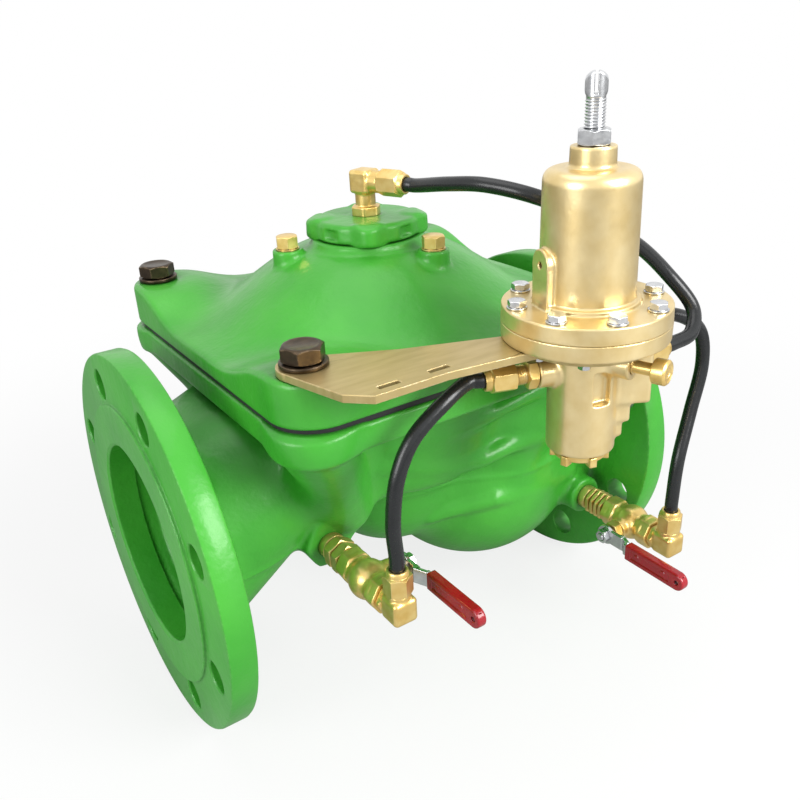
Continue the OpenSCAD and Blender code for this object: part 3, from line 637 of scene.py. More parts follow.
def bonnet_field(p):
    outline = plate(p, HALF, CORNER_R, BONNET_Z, CORNER_Z + 60, 2.5)
    shell = both(outline, (p[2] - bonnet_height(p)) * 0.75, 4)
    shell = fuse(shell, post(p, STEM, 48, 42, 165, DOME_TOP, 1.5), 4)
    for x, y in PLUG_PLACES:
        shell = fuse(shell, post(p, (x, y), 12.5, 11.2, 150, PLUG_SEAT, 1.5), 3.5)
    chamber = post(p, STEM, 104, 104, BONNET_Z - 5, BONNET_Z + 7, 2)
    spring_space = post(p, STEM, 98, 36, BONNET_Z + 6, 173, 2)
    shell = cut(shell, fuse(chamber, fuse(spring_space, post(p, STEM, 36, 36, 165, 180, 2), 2), 2), 2)
    shell = cut(shell, post(p, STEM, 30.1, 30.1, 150, 200, 0.5), 0.5)

    def hole(q, sx, sy):
        return size(q[0] - STEM_X - sx * BOLT_PITCH, q[1] - sy * BOLT_PITCH) - 8.8 + 0 * q[2]

    def spot_face(q, sx, sy):
        return post(q, (STEM_X + sx * BOLT_PITCH, sy * BOLT_PITCH), 16.5, 16.5, CORNER_Z, CORNER_Z + 30, 1)

    shell = cut(shell, at_corners(p, spot_face), 1.5)
    shell = cut(shell, at_corners(p, hole), 1)
    for x, y in PLUG_PLACES:
        shell = cut(shell, post(p, (x, y), 9.6, 9.6, PLUG_SEAT, CAP_TOP, 0.5), 1)
        shell = cut(shell, size(p[0] - x, p[1] - y) - 6.7 + np.maximum(0, 140 - p[2]), 0.8)
    return shell


def cap_field(p):
    r = size(p[0] - STEM_X, p[1])
    seat = DOME_TOP
    shell = post(p, STEM, 39.8, 38.6, seat, CAP_TOP, 4)
    for k in range(4):
        a = math.radians(150 + 90 * k)
        lug = post(p, (STEM_X + 37 * math.cos(a), 37 * math.sin(a)), 9, 8.4, seat, CAP_TOP - 1, 3)
        shell = fuse(shell, lug, 7)
        a += math.radians(45)
        dent = (STEM_X + 47 * math.cos(a), 47 * math.sin(a))
        shell = cut(shell, post(p, dent, 10.5, 10.5, seat + 3, CAP_TOP - 4, 1.5), 1.5)
    shell = fuse(shell, post(p, STEM, 15, 13, CAP_TOP - 3, CAP_TOP - 0.2, 1), 2)
    shell = np.minimum(shell, post(p, STEM, 30, 30, seat - 18, seat + 3, 1))
    shell = np.minimum(shell, post(p, STEM, 16, 16, 150, seat - 15, 1))
    shell = cut(shell, post(p, STEM, 10.05, 10.05, 140, seat - 1, 0.3), 0.5)
    shell = cut(shell, post(p, STEM, 8.4, 8.4, seat - 2, CAP_TOP + 5, 0.3), 0.5)
    return cut(shell, np.maximum(27.6 - r, np.abs(p[2] - 184.5) - 1.5), 0.4)


def pipe_flange(name, side):
    """Machined flange ring with its raised face; side is +1 for the inlet end."""
    back, step = FACE_X - 23, FACE_X - 3
    profile = [(BORE_R, back + 2), (FLANGE_R - 2.5, back), (FLANGE_R - 0.8, back + 0.8),
               (FLANGE_R, back + 2.5), (FLANGE_R, step - 2), (FLANGE_R - 0.6, step - 0.6),
               (FLANGE_R - 2, step), (107.5, step), (106.4, step + 0.6), (106, step + 1.6),
               (106, FACE_X - 0.8), (105.2, FACE_X), (BORE_R + 2, FACE_X), (BORE_R, FACE_X - 1.5)]
    sides = 2 * SIDES
    angles = np.arange(sides) * 2 * math.pi / sides
    rings = [np.c_[np.full(sides, z), r * np.cos(angles), r * np.sin(angles)] for r, z in profile]
    verts, faces = loft(rings, True)
    verts[:, 0] *= side
    piece = add_piece(name, verts, faces, "valve_body", sharp=30)
    cutters = []
    for a in np.radians(EIGHTHS):
        steps = round_rings((HOLE_R + 3.5, back - 3), (HOLE_R + 1, back - 0.2), (HOLE_R, back + 1.0),
                            (HOLE_R, step - 1.0), (HOLE_R + 1, step + 0.2), (HOLE_R + 3.5, step + 3))
        hole, skin = turned(steps)
        centre = (0, BOLT_CIRCLE_R * math.cos(a), BOLT_CIRCLE_R * math.sin(a))
        hole = placed(hole, (0, 0, 0), (1, 0, 0)) + centre
        hole[:, 0] *= side
        cutters.append((hole, skin))
    subtract(piece, joined(cutters))


def subtract(piece, solid):
    """Takes a closed solid out of a piece and applies it."""
    mesh = bpy.data.meshes.new("cutter")
    mesh.from_pydata((solid[0] * MM).tolist(), [], [list(f) for f in solid[1]])
    clean = bmesh.new()
    clean.from_mesh(mesh)
    bmesh.ops.recalc_face_normals(clean, faces=clean.faces)
    clean.to_mesh(mesh)
    clean.free()
    cutter = bpy.data.objects.new("cutter", mesh)
    bpy.context.scene.collection.objects.link(cutter)
    modifier = piece.modifiers.new("holes", "BOOLEAN")
    modifier.operation = "DIFFERENCE"
    modifier.solver = "EXACT"
    modifier.object = cutter
    bpy.context.view_layer.update()
    result = bpy.data.meshes.new_from_object(piece.evaluated_get(bpy.context.evaluated_depsgraph_get()))
    piece.modifiers.clear()
    piece.data = result
    result.shade_smooth()
    result.set_sharp_from_angle(angle=math.radians(30))
    bpy.data.objects.remove(cutter)


OUTLET_TAP = (middle("outlet_nipple")[0], corners("outlet_nipple")[1][1] - 13, middle("outlet_nipple")[2])
INLET_TAP = (middle("inlet_nipple")[0], corners("inlet_nipple")[1][1] - 13, middle("inlet_nipple")[2])
PLUG_ANGLES = (165.0, -73.0)
PLUG_CIRCLE = 62.0
PLUG_PLACES = [(STEM_X + PLUG_CIRCLE * math.cos(math.radians(a)), PLUG_CIRCLE * math.sin(math.radians(a)))
               for a in PLUG_ANGLES]
PLUG_SEAT = corners("bonnet_plugs")[1][2] - 10

GRID = 1.8
casting("body_casting", body_field, (-FACE_X, -HALF - 6, -FLANGE_R - 3),
        (FACE_X, HALF + 6, SPLIT_Z + 4), GRID, "valve_body")
pipe_flange("outlet_flange", -1)
pipe_flange("inlet_flange", 1)
casting("bonnet_casting", bonnet_field, (STEM_X - HALF - 4, -HALF - 4, BONNET_Z - 4),
        (STEM_X + HALF + 4, HALF + 4, DOME_TOP + 4), GRID * 0.8, "bonnet")
casting("cap_casting", cap_field, (STEM_X - 50, -50, 146), (STEM_X + 50, 50, CAP_TOP + 3), 1.1, "centre_cap")


# ---------------------------------------------------------------- bonnet fasteners and plugs

BOLT_AF, BOLT_R, WASHER_T = 24.0, 8.0, 3.0


def bonnet_bolt_places():
    """Axis and height of the seat of each bonnet bolt; the one at the front left clamps the bracket."""
    for sx in (-1, 1):
        for sy in (-1, 1):
            seat = FLANGE_Z if sx < 0 and sy < 0 else CORNER_Z
            yield STEM_X + sx * BOLT_PITCH, sy * BOLT_PITCH, seat


def bonnet_fasteners():
    bolts, washers = [], []
    for x, y, seat in bonnet_bolt_places():
        head = seat + WASHER_T
        rings = round_rings((BOLT_R - 1.5, THREAD_END + 1), (BOLT_R, THREAD_END + 3))
        rings += thread(BOLT_R, 0.9, 2.0, THREAD_END + 3, SPLIT_Z - 3)
        rings += round_rings((BOLT_R - 0.2, SPLIT_Z - 2), (BOLT_R, head - 0.6), (BOLT_R + 3, head - 0.6),
                             (BOLT_R + 3, head)) + hex_rings(BOLT_AF, head, head + 10)
        rings += round_rings((9.6, head + 10), (8.6, head + 9.6))
        bolts.append(set_at(turned(rings), (x, y, 0), side=(math.cos(0.3 * x), math.sin(0.3 * x), 0)))
        washers.append(set_at(turned(rim(15, seat, head), BOLT_R + FIT), (x, y, 0)))
    add_piece("bonnet_hex_bolts", *joined(bolts), "bonnet_bolts")
    add_piece("bonnet_flat_washers", *joined(washers), "bonnet_washers")


def bonnet_plug_heads():
    plugs = []
    for x, y in PLUG_PLACES:
        rings = round_rings((5.6, 172), (6.6, 173)) + thread(6.6, 0.5, 1.3, 173, 187)
        rings += round_rings((6.0, 188), (6.6, 188.4), (6.6, PLUG_SEAT), (8.6, PLUG_SEAT),
                             (8.6, PLUG_SEAT + 1))
        rings += hex_rings(15, PLUG_SEAT + 1, PLUG_SEAT + 10)
        plugs.append(set_at(turned(rings), (x, y, 0), side=(0.8, 0.6, 0)))
    add_piece("bonnet_pipe_plugs", *joined(plugs), "bonnet_plugs")


bonnet_fasteners()
bonnet_plug_heads()


# ---------------------------------------------------------------- pilot valve

# angle, height, reach of the fitting and boss radius of each tube port
PORTS = ((160.0, 138.0, 66.0, 10.0), (0.0, 131.0, 76.0, 10.0), (36.0, 131.0, 60.0, 9.4))
BLOCK_TURN = math.radians(-30)                # heading of the stepped block on the pilot body
TEST_PORT = (-72.0, 145.0)                    # angle and height
VENT_ANGLE = 165.0
PILOT_BOLT_R = 44.0
PILOT_RUBBER_R = PILOT_FLANGE_R - 2.5


def around_pilot(angle, reach, z):
    a = math.radians(angle)
    return PILOT_X + reach * math.cos(a), PILOT_Y + reach * math.sin(a), z


def pilot_bar(p, angle, z, a, b, r, k):
    """Level bar from reach a to reach b of the pilot's axis."""
    return bar(p, around_pilot(angle, a, z), around_pilot(angle, b, z), r, k)


def pilot_bolt_axes(p, r):
    """Vertical holes of radius r on the pilot's bolt circle."""
    places = [around_pilot(angle, PILOT_BOLT_R, 0) for angle in EIGHTHS]
    return nearest(size(p[0] - x, p[1] - y) for x, y, _ in places) - r + 0 * p[2]


def rim_lip(p):
    """The two castings nearly meet outside the rubber of the pilot."""
    return np.where(size(p[0] - PILOT_X, p[1] - PILOT_Y) > PILOT_RUBBER_R + 0.3, 0.38, 0.0)


def pilot_body_field(p):
    shell = post(p, PILOT, 22, 22.3, 83, FLANGE_Z + 2, 1.5)
    for low, high in (((0, -12, 114), (41, 12, FLANGE_Z - 5)), ((0, -10.6, 101), (29, 10.6, 122)),
                      ((0, -9, 90), (25, 9, 108))):
        shell = fuse(shell, block(p, low, high, 2.4, BLOCK_TURN, PILOT), 3)
    pocket = block(p, (16.5, -6, 119), (30, 6, 141), 2.0, math.radians(-101), PILOT)
    shell = cut(shell, pocket, 1.5)
    shell = fuse(shell, pilot_bar(p, *TEST_PORT, 0, 33, 9, 1.2), 3)
    for angle, z, _, r in PORTS:
        shell = fuse(shell, pilot_bar(p, angle, z, 0, 32, r, 1.2), 3)
    flange = post(p, PILOT, PILOT_FLANGE_R - 1.1, PILOT_FLANGE_R - 0.8, FLANGE_Z, JOINT_Z + 3, 1.0)
    shell = fuse(shell, flange, 3.0)
    shell = np.maximum(shell, p[2] - JOINT_Z - rim_lip(p))
    for hollow, k in ((post(p, PILOT, 34, 34, JOINT_Z - 6, JOINT_Z + 5, 0.5), 0.8),
                      (post(p, PILOT, 3.6, 3.6, 130, JOINT_Z, 0.3), 0.4),
                      (post(p, PILOT, 8, 8, 139, 151, 0.5), 0.5),
                      (post(p, PILOT, 12, 12, 94, 140, 0.5), 0.5),
                      (post(p, PILOT, 15.1, 15.1, 80, 95, 0.5), 0.5)):
        shell = cut(shell, hollow, k)
    for angle, z, _, r in PORTS:
        shell = cut(shell, pilot_bar(p, angle, z, 15, 40, 3, 0.3), 0.4)
        shell = cut(shell, pilot_bar(p, angle, z, 23, 40, 6.7, 0.3), 0.8)
    shell = cut(shell, pilot_bar(p, *TEST_PORT, 8, 45, 2.5, 0.3), 0.4)
    shell = cut(shell, pilot_bar(p, *TEST_PORT, 22, 45, 5.1, 0.3), 0.8)
    shell = cut(shell, pilot_bar(p, *PORTS[1][:2], 32, 60, 10.4, 0.3), 0.8)
    return cut(shell, np.maximum(pilot_bolt_axes(p, 3.1), FLANGE_Z + 1 - p[2]), 0.4)


def cover_field(p):
    top = NECK_TOP - 12
    base = JOINT_Z + 1
    r = size(p[0] - PILOT_X, p[1] - PILOT_Y)
    barrel = both(r - 29.2 + 0.012 * (p[2] - base), np.maximum(base - p[2], p[2] - top), 8)
    shell = fuse(barrel, post(p, PILOT, 13.6, 13.1, top - 6, NECK_TOP, 1.0), 2.5)
    arch = fuse(block(p, (20, -9.5, base + 8), (32, 9.5, base + 36), 0.8, math.radians(VENT_ANGLE), PILOT),
                pilot_bar(p, VENT_ANGLE, base + 36, 20, 32, 9.5, 0.8), 0.5)
    shell = fuse(shell, arch, 1.6)
    shell = fuse(shell, post(p, PILOT, 32.6, 32, base + 5, base + 13, 0.8), 1.5)
    flange = post(p, PILOT, PILOT_FLANGE_R - 0.8, PILOT_FLANGE_R - 1.2, base - 3, base + 10, 1.0)
    shell = fuse(shell, flange, 1.5)
    shell = np.maximum(shell, base - rim_lip(p) - p[2])
    shell = cut(shell, post(p, PILOT, 34, 34, base - 5, base + 6, 0.5), 0.6)
    shell = cut(shell, post(p, PILOT, 25, 25, base, top - 8, 2), 0.6)
    shell = cut(shell, post(p, PILOT, 6.1, 6.1, top - 12, NECK_TOP + 5, 0.2), 0.7)
    shell = cut(shell, pilot_bar(p, VENT_ANGLE, base + 36, 20, 40, 2.0, 0.2), 0.6)
    return cut(shell, pilot_bolt_axes(p, 3.3), 0.5)


def bottom_plug_field(p):
    shell = post(p, PILOT, 17, 17, 77, 83, 0.8)
    shell = fuse(shell, post(p, PILOT, 15, 15, 80, 94, 0.5), 0.4)
    for k in range(6):
        lug = block(p, (12.5, -2.6, 74), (19, 2.6, 81), 0.7, math.radians(14 + 60 * k), PILOT)
        shell = fuse(shell, lug, 0.8)
    return shell


def pilot_castings():
    reach = PILOT_FLANGE_R + 3
    low, high = (PILOT_X - reach, PILOT_Y - reach), (PILOT_X + reach, PILOT_Y + reach)
    fine = 0.7
    casting("pilot_brass_body", pilot_body_field, (*low, 80), (*high, JOINT_Z + 2), fine, "pilot_body")
    casting("pilot_brass_cover", cover_field, (*low, JOINT_Z - 2), (*high, NECK_TOP + 2), fine,
            "pilot_spring_cover")
    casting("pilot_end_plug", bottom_plug_field, (PILOT_X - 21, PILOT_Y - 21, 72),
            (PILOT_X + 21, PILOT_Y + 21, 96), 0.6, "pilot_bottom_plug")


def pilot_fasteners():
    parts = []
    seat = JOINT_Z + 11
    for k, angle in enumerate(EIGHTHS):
        rings = round_rings((2.2, FLANGE_Z + 2), (3, FLANGE_Z + 3), (3, seat), (5.9, seat), (6.2, seat + 0.3),
                            (6.2, seat + 1.0), (5.9, seat + 1.2)) + hex_rings(10, seat + 1.2, seat + 5.2)
        bolt = turned(rings + round_rings((3.4, seat + 5.0)))
        side = (math.cos(0.9 * k), math.sin(0.9 * k), 0)
        parts.append(set_at(bolt, around_pilot(angle, PILOT_BOLT_R, 0), side=side))
    add_piece("pilot_flange_bolts", *joined(parts), "pilot_bolts")
    parts = []
    for angle in (90, 135, 180, 225):
        rings = round_rings((3.0, CORNER_Z - 3)) + hex_rings(7, CORNER_Z - 3, CORNER_Z)
        rings += round_rings((2, CORNER_Z), (2, FLANGE_Z + 4), (1.4, FLANGE_Z + 5))
        parts.append(set_at(turned(rings), around_pilot(angle, 38, 0)))
    add_piece("pilot_bracket_screws", *joined(parts), "bracket_screws")


def screw_head_field(p):
    """Rounded screwdriver end of the adjusting screw, with its slot."""
    c, s, _ = heading(44)
    u = (p[0] - PILOT_X) * c + (p[1] - PILOT_Y) * s
    v = (p[1] - PILOT_Y) * c - (p[0] - PILOT_X) * s
    top = corners("adjusting_screw")[1][2]
    r = size(u, v)
    shell = both(r - 6.3, np.maximum(top - 14 - p[2], size(v, p[2] - top + 7.5) - 7.5), 1.0)
    shell = fuse(shell, post(p, PILOT, 5.4, 5.4, top - 16, top - 8, 0.4), 0.6)
    return cut(shell, np.maximum(np.abs(v) - 0.95 + 0 * u, top - 12 - p[2]), 0.5)


def adjusting_pieces():
    low, high = corners("adjusting_screw")
    rings = round_rings((4.8, low[2]), (5.4, low[2] + 0.6))
    rings += thread(6.0, 0.9, 1.75, low[2] + 0.8, high[2] - 14)
    rings += round_rings((5.2, high[2] - 13.8), (5.2, high[2] - 12.5))
    add_piece("adjusting_thread", *set_at(turned(rings), (*PILOT, 0)), "adjusting_screw", sharp=60)
    casting("adjusting_slot_end", screw_head_field, (PILOT_X - 8, PILOT_Y - 8, high[2] - 17),
            (PILOT_X + 8, PILOT_Y + 8, high[2] + 1), 0.35, "adjusting_screw")
    low, high = corners("lock_nut")
    nut = turned(hex_rings(18, low[2], high[2]), 6 + FIT)
    add_piece("adjusting_lock_nut", *set_at(nut, (*PILOT, 0), side=(0.97, 0.26, 0)), "lock_nut")


def test_plug():
    rings = round_rings((4.4, 23), (5, 23.6)) + thread(5, 0.4, 1.2, 24, 32) + round_rings(
        (5, 32.5), (5, 33.4), (4, 33.6), (4, 45.4), (4.8, 46), (7.4, 46), (8, 46.6), (8, 53.6), (7.2, 54.6),
        (6.0, 55), (5.2, 54.4), (3.4, 54.4), (3.0, 54.0))
    plug = set_at(turned(rings), (*PILOT, TEST_PORT[1]), heading(TEST_PORT[0]))
    add_piece("test_point_plug", *plug, "pilot_test_plug")


def port_adapters():
    parts = []
    for angle, z, end, _ in PORTS:
        rings = rim(6.6, 24, 31.5, 0.4) + round_rings((7.6, 32)) + hex_rings(17, 32, 39) + round_rings(
            (6.1, 39.2), (6.1, 40)) + thread(6.5, 0.5, 1.2, 40, end - 15)
        parts.append(set_at(turned(rings, 3), (*PILOT, z), heading(angle), (0, 0, 1)))
    add_piece("port_adapters", *joined(parts), "pilot_port_fittings")


pilot_castings()
pilot_fasteners()
adjusting_pieces()
test_plug()
port_adapters()


# ---------------------------------------------------------------- tapping trains

VALVE_START, VALVE_END, ELBOW_AT = 28.0, 76.0, 89.0
STEM_AT = (VALVE_START + VALVE_END) / 2


def train_nipple(name, node, tap, ribs):
    rings = round_rings((7.4, -13), (8.2, -12)) + thread(8.3, 0.5, 1.4, -12, -1) + rim(10, 0, 7)
    width = 19 / ribs
    for k in range(ribs):
        a, b = 9 + width * k, 8 + width * (k + 1)
        rings += round_rings((7.6, a - 0.6), (8, a)) + hex_rings(21, a, b) + round_rings((8, b))
    rings += round_rings((7.0, 28), (7.0, 36), (6.4, 37))
    add_piece(name, *set_at(turned(rings, 5), tap, (0, -1, 0), (1, 0, 0)), node)


def valve_field(tap, side):
    """Forged ball valve body; the lever is on the side given by the sign."""
    x0, y0, z0 = tap

    def at(reach, across=0.0):
        return x0 + side * across, y0 - reach, z0

    def field(p):
        up = (0, 0, 1)
        shell = hex_bar(p, at(VALVE_START), at(VALVE_START + 11), 23, up, 1.0)
        shell = fuse(shell, hex_bar(p, at(VALVE_END - 11), at(VALVE_END), 23, up, 1.0), 1)
        shell = fuse(shell, bar(p, at(VALVE_START + 8), at(VALVE_END - 8), 11.2, 1), 2.0)
        shell = fuse(shell, both(ball(p, at(STEM_AT), 14.2), np.abs(p[1] - y0 + STEM_AT) - 10, 2), 1.5)
        shell = fuse(shell, bar(p, at(STEM_AT), at(STEM_AT, 18), 8, 0.8), 2.5)
        for start, end, r, k in ((VALVE_START - 2, VALVE_START + 10, 7.1, 0.8),
                                 (VALVE_END + 2, VALVE_END - 10, 7.1, 0.8),
                                 (VALVE_START, VALVE_END, 5, 0.3), (STEM_AT - 10, STEM_AT + 10, 9.2, 0.3)):
            shell = cut(shell, bar(p, at(start), at(end), r, 0.3), k)
        return cut(shell, bar(p, at(STEM_AT), at(STEM_AT, 22), 4.1, 0.2), 0.5)
    return field


def lever_field(tap, side):
    """Flat steel lever: a round end on the stem, a crank and a tang for the grip."""
    x0, y0, z0 = tap
    y0 = y0 - STEM_AT

    def field(p):
        q = (side * (p[0] - x0), p[1] - y0, p[2] - z0)
        shell = bar(q, (28, 0, 0), (31, 0, 0), 8, 0.5)
        shell = fuse(shell, block(q, (28, -17, -6), (31, 0, 6), 0.6), 0.5)
        crank = block((q[0] - 29.5, q[1] + 19.5, q[2]), (-1.5, -6, -6), (1.5, 6, 6), 0.6, 0.42)
        shell = fuse(shell, crank, 1.5)
        shell = fuse(shell, block(q, (31.5, -78, -5), (34.5, -22, 5), 0.6), 1.0)
        return cut(shell, bar(q, (20, 0, 0), (40, 0, 0), 3.1, 0.2), 0.4)
    return field


def grip_field(tap, side):
    """Dipped plastic grip with a hollow on each face and a hole near its round end."""
    x0, y0, z0 = tap
    y0 = y0 - STEM_AT

    def field(p):
        q = (side * (p[0] - x0) - 33, p[1] - y0, p[2] - z0)
        outline = size(np.minimum(q[1] + 74, 0), q[2]) - 7
        shell = both(outline, np.maximum(np.abs(q[0]) - 3.5, q[1] + 26), 1.6)
        panel = block(q, (-5, -68, -3.2), (5, -31, 3.2), 0.5)
        shell = cut(shell, np.maximum(panel, 2.75 - np.abs(q[0])), 0.7)
        for y in (-62, -37):
            rib = np.maximum(size(q[1] - y, q[2]) - 2.4, np.abs(q[0]) - 3.3)
            shell = fuse(shell, rib, 0.5)
        shell = cut(shell, size(q[1] + 75, q[2]) - 1.9 + 0 * q[0], 0.5)
        return cut(shell, block(q, (-1.6, -78.1, -5.1), (1.6, 5, 5.1), 0.3), 0.3)
    return field


def tap_elbow_field(tap):
    x0, y0, z0 = tap

    def at(reach, rise=0.0):
        return x0, y0 - reach, z0 + rise

    def field(p):
        shell = bar(p, at(VALVE_END - 9), at(VALVE_END + 1), 7, 0.4)
        shell = fuse(shell, hex_bar(p, at(VALVE_END), at(VALVE_END + 4.5), 19, (0, 0, 1), 0.6), 0.6)
        shell = fuse(shell, bar(p, at(VALVE_END + 3), at(ELBOW_AT), 8, 0.6), 1.2)
        knee = block(p, (x0 - 9, y0 - ELBOW_AT - 9, z0 - 9), (x0 + 9, y0 - ELBOW_AT + 9, z0 + 9), 3.2)
        shell = fuse(shell, knee, 2.0)
        shell = fuse(shell, bar(p, at(ELBOW_AT), at(ELBOW_AT, 12), 8, 0.6), 1.2)
        shell = fuse(shell, bar(p, at(ELBOW_AT, 10), at(ELBOW_AT, 19), 6.5, 0.6), 0.6)
        shell = cut(shell, bar(p, at(VALVE_END - 12), at(ELBOW_AT + 3), 4, 0.4), 0.4)
        shell = cut(shell, bar(p, at(ELBOW_AT), at(ELBOW_AT, 25), 3.6, 0.4), 0.4)
        return cut(shell, bar(p, at(ELBOW_AT, 14), at(ELBOW_AT, 25), 5.1, 0.2), 0.4)
    return field


CAP_ANGLE = -70.0
CAP_PORT_Z = corners("cap_elbow")[1][2] - 8.5


def cap_point(reach):
    """Point on the side port of the cap's elbow."""
    a = math.radians(CAP_ANGLE)
    return STEM_X + reach * math.cos(a), reach * math.sin(a), CAP_PORT_Z


def cap_elbow_field(p):
    z = CAP_PORT_Z
    shell = bar(p, (*STEM, 194), (*STEM, CAP_TOP + 1), 8.3, 0.6)
    shell = fuse(shell, hex_bar(p, (*STEM, CAP_TOP), (*STEM, CAP_TOP + 7), 19, (0.9, 0.3, 0), 0.8), 0.6)
    shell = fuse(shell, bar(p, (*STEM, CAP_TOP + 6), (*STEM, z), 7.5, 0.6), 1.0)
    knee = block(p, (-8.5, -8.5, z - 8.5), (8.5, 8.5, z + 8.5), 2.6, math.radians(CAP_ANGLE), STEM)
    shell = fuse(shell, knee, 1.5)
    shell = fuse(shell, bar(p, cap_point(0), cap_point(16), 8, 0.6), 1.0)
    shell = fuse(shell, bar(p, cap_point(14), cap_point(22), 6.5, 0.6), 0.5)
    shell = cut(shell, bar(p, (*STEM, 185), (*STEM, z + 3), 4, 0.4), 0.4)
    shell = cut(shell, bar(p, cap_point(0), cap_point(30), 3.6, 0.4), 0.4)
    return cut(shell, bar(p, cap_point(18), cap_point(30), 5.1, 0.2), 0.4)


def train(name, tap, side, ribs):
    x, y, z = tap
    train_nipple(name + "_screwed_nipple", name + "_nipple", tap, ribs)
    reach = 16
    casting(name + "_valve_forging", valve_field(tap, side), (x - 20, y - VALVE_END - 2, z - reach),
            (x + 20, y - VALVE_START + 2, z + reach), 0.6, name + "_ball_valve")
    casting(name + "_elbow_forging", tap_elbow_field(tap), (x - 13, y - ELBOW_AT - 11, z - 12),
            (x + 13, y - VALVE_END + 11, z + 21), 0.6, name + "_elbow")
    outer = sorted((x + side * 27, x + side * 38))
    casting(name + "_steel_lever", lever_field(tap, side), (outer[0] - 1, y - STEM_AT - 80, z - 10),
            (outer[1] + 1, y - STEM_AT + 10, z + 10), 0.5, name + "_lever")
    casting(name + "_red_grip", grip_field(tap, side), (outer[0] - 1, y - STEM_AT - 83, z - 9),
            (outer[1] + 1, y - STEM_AT - 24, z + 9), 0.45, name + "_grip")
    hub = (x, y - STEM_AT, z)
    axis = (side, 0, 0)
    gland = turned(hex_rings(14, 18, 25), 4 + FIT)
    add_piece(name + "_gland_hex", *set_at(gland, hub, axis, (0, 0, 1)), name + "_gland_nut")
    nut = turned(hex_rings(10, 31, 36), 3 + FIT)
    add_piece(name + "_lever_hex", *set_at(nut, hub, axis, (0, 0, 1)), name + "_lever_nut")
    stem = round_rings((1.4, 7.2), (1.5, 8.4), (3.6, 8.6), (4, 9), (4, 28), (3.0, 28.1)) + thread(
        3, 0.35, 1.0, 28.4, 36.4) + round_rings((2.4, 37))
    add_piece(name + "_valve_spindle", *set_at(turned(stem), hub, axis, (0, 0, 1)), name + "_valve_stem")


train("outlet", OUTLET_TAP, 1, 2)
train("inlet", INLET_TAP, -1, 4)
casting("cap_elbow_forging", cap_elbow_field, (STEM_X - 14, -26, 192),
        (STEM_X + 22, 14, corners("cap_elbow")[1][2] + 2), 0.6, "cap_elbow")


# ---------------------------------------------------------------- control tubes and their nuts

TUBE_R, TUBE_WALL = 5.0, 1.5


def port_point(port, reach):
    return around_pilot(port[0], reach, port[1])


def riser_point(tap, rise):
    return tap[0], tap[1] - ELBOW_AT, tap[2] + rise


def control_tube(name, node, points):
    path = curve_through(points, 12)
    outside = swept(path, TUBE_R)
    inside = swept(path, TUBE_R - TUBE_WALL)
    verts, faces = loft(outside + inside[::-1], True)
    add_piece(name, verts, faces, node, sharp=60)


def tube_nuts():
    nuts = []
    for port in PORTS:
        nuts.append((port_point(port, port[2] - 20), heading(port[0]), 20))
    nuts += [(riser_point(tap, 12.1), (0, 0, 1), 17.9) for tap in (OUTLET_TAP, INLET_TAP)]
    nuts.append((cap_point(16.1), heading(CAP_ANGLE), 21.9))
    parts = []
    for place, axis, long in nuts:
        rings = hex_rings(17, 0, long - 4) + round_rings((7.4, long - 3.8), (7.2, long - 0.8), (6.6, long))
        parts.append(set_at(turned(rings, (6.5 + FIT, TUBE_R + FIT)), place, axis))
    add_piece("tube_compression_nuts", *joined(parts), "compression_nuts")


def riser_start(tap):
    return [riser_point(tap, rise) for rise in (14.5, 30.5, 40)]


def port_end(port):
    return [port_point(port, port[2] + reach) for reach in (10, 0.5, -14.5)]


tube_nuts()
control_tube("outlet_sense_tube", "outlet_tube", riser_start(OUTLET_TAP) + [
    (-91, -171, 62), (-86, -171, 92), (-73, -171, 115), (-50, -172, 132)] + port_end(PORTS[0]))
control_tube("cap_control_tube", "cap_tube", [cap_point(reach) for reach in (18.5, 38.5, 48)] + [
    (27, -78, 237), (35, -108, 239), (52, -137, 233), (86, -152, 216), (126, -158, 192),
    (151, -167, 167), (160, -182, 146), (147, -193, 133)] + port_end(PORTS[1]))
control_tube("inlet_supply_tube", "inlet_tube", riser_start(INLET_TAP) + [
    (157, -186, 26), (172, -181, 60), (184, -178, 95), (181, -174, 122), (160, -166, 136),
    (128, -161, 135)] + port_end(PORTS[2]))


# ---------------------------------------------------------------- parts that give way

def soft_copy(node, joint, fixed_z, keep):
    """The CAD node's own shape with its edge drawn in by 2.5 mm."""
    shrink = 1 - 2.5 / (middle(node)[1] - corners(node)[0][1])
    piece = bpy.data.objects.new(node + "_soft", frame["nodes"][node].data.copy())
    centre = middle(node) * MM
    for vertex in piece.data.vertices:
        vertex.co.x = centre[0] + (vertex.co.x - centre[0]) * shrink
        vertex.co.y = centre[1] + (vertex.co.y - centre[1]) * shrink
    bpy.context.scene.collection.objects.link(piece)
    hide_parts(node)
    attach(piece, bodies_of(node))
    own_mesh(piece)


def coil(name, node, coil_r, wire_r, turns, joint, fixed_z, keep):
    low, high = corners(node)
    centre = middle(node)
    steps = int(turns * 36)
    t = np.arange(steps + 1) / steps
    angle = 2 * math.pi * turns * t
    rise = high[2] - low[2] - 2 * wire_r
    ends = np.clip((t * turns - 0.5) / (turns - 1.0), 0, 1)
    path = np.c_[centre[0] + coil_r * np.cos(angle), centre[1] + coil_r * np.sin(angle),
                 low[2] + wire_r + rise * (0.15 * t + 0.85 * ends)]
    verts, faces = loft(swept(path, wire_r), False)
    piece = add_piece(name, verts, faces, node, sharp=60)
    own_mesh(piece)


deform = {row["node"]: (j["name"], row["fixed_end_z_m"]) for j in frame["joints"]
          for row in j.get("deforming_nodes", [])}
travel = {j["name"]: max(abs(v) for v in j["range_m"]) for j in frame["joints"] if j["type"] == "slide"}


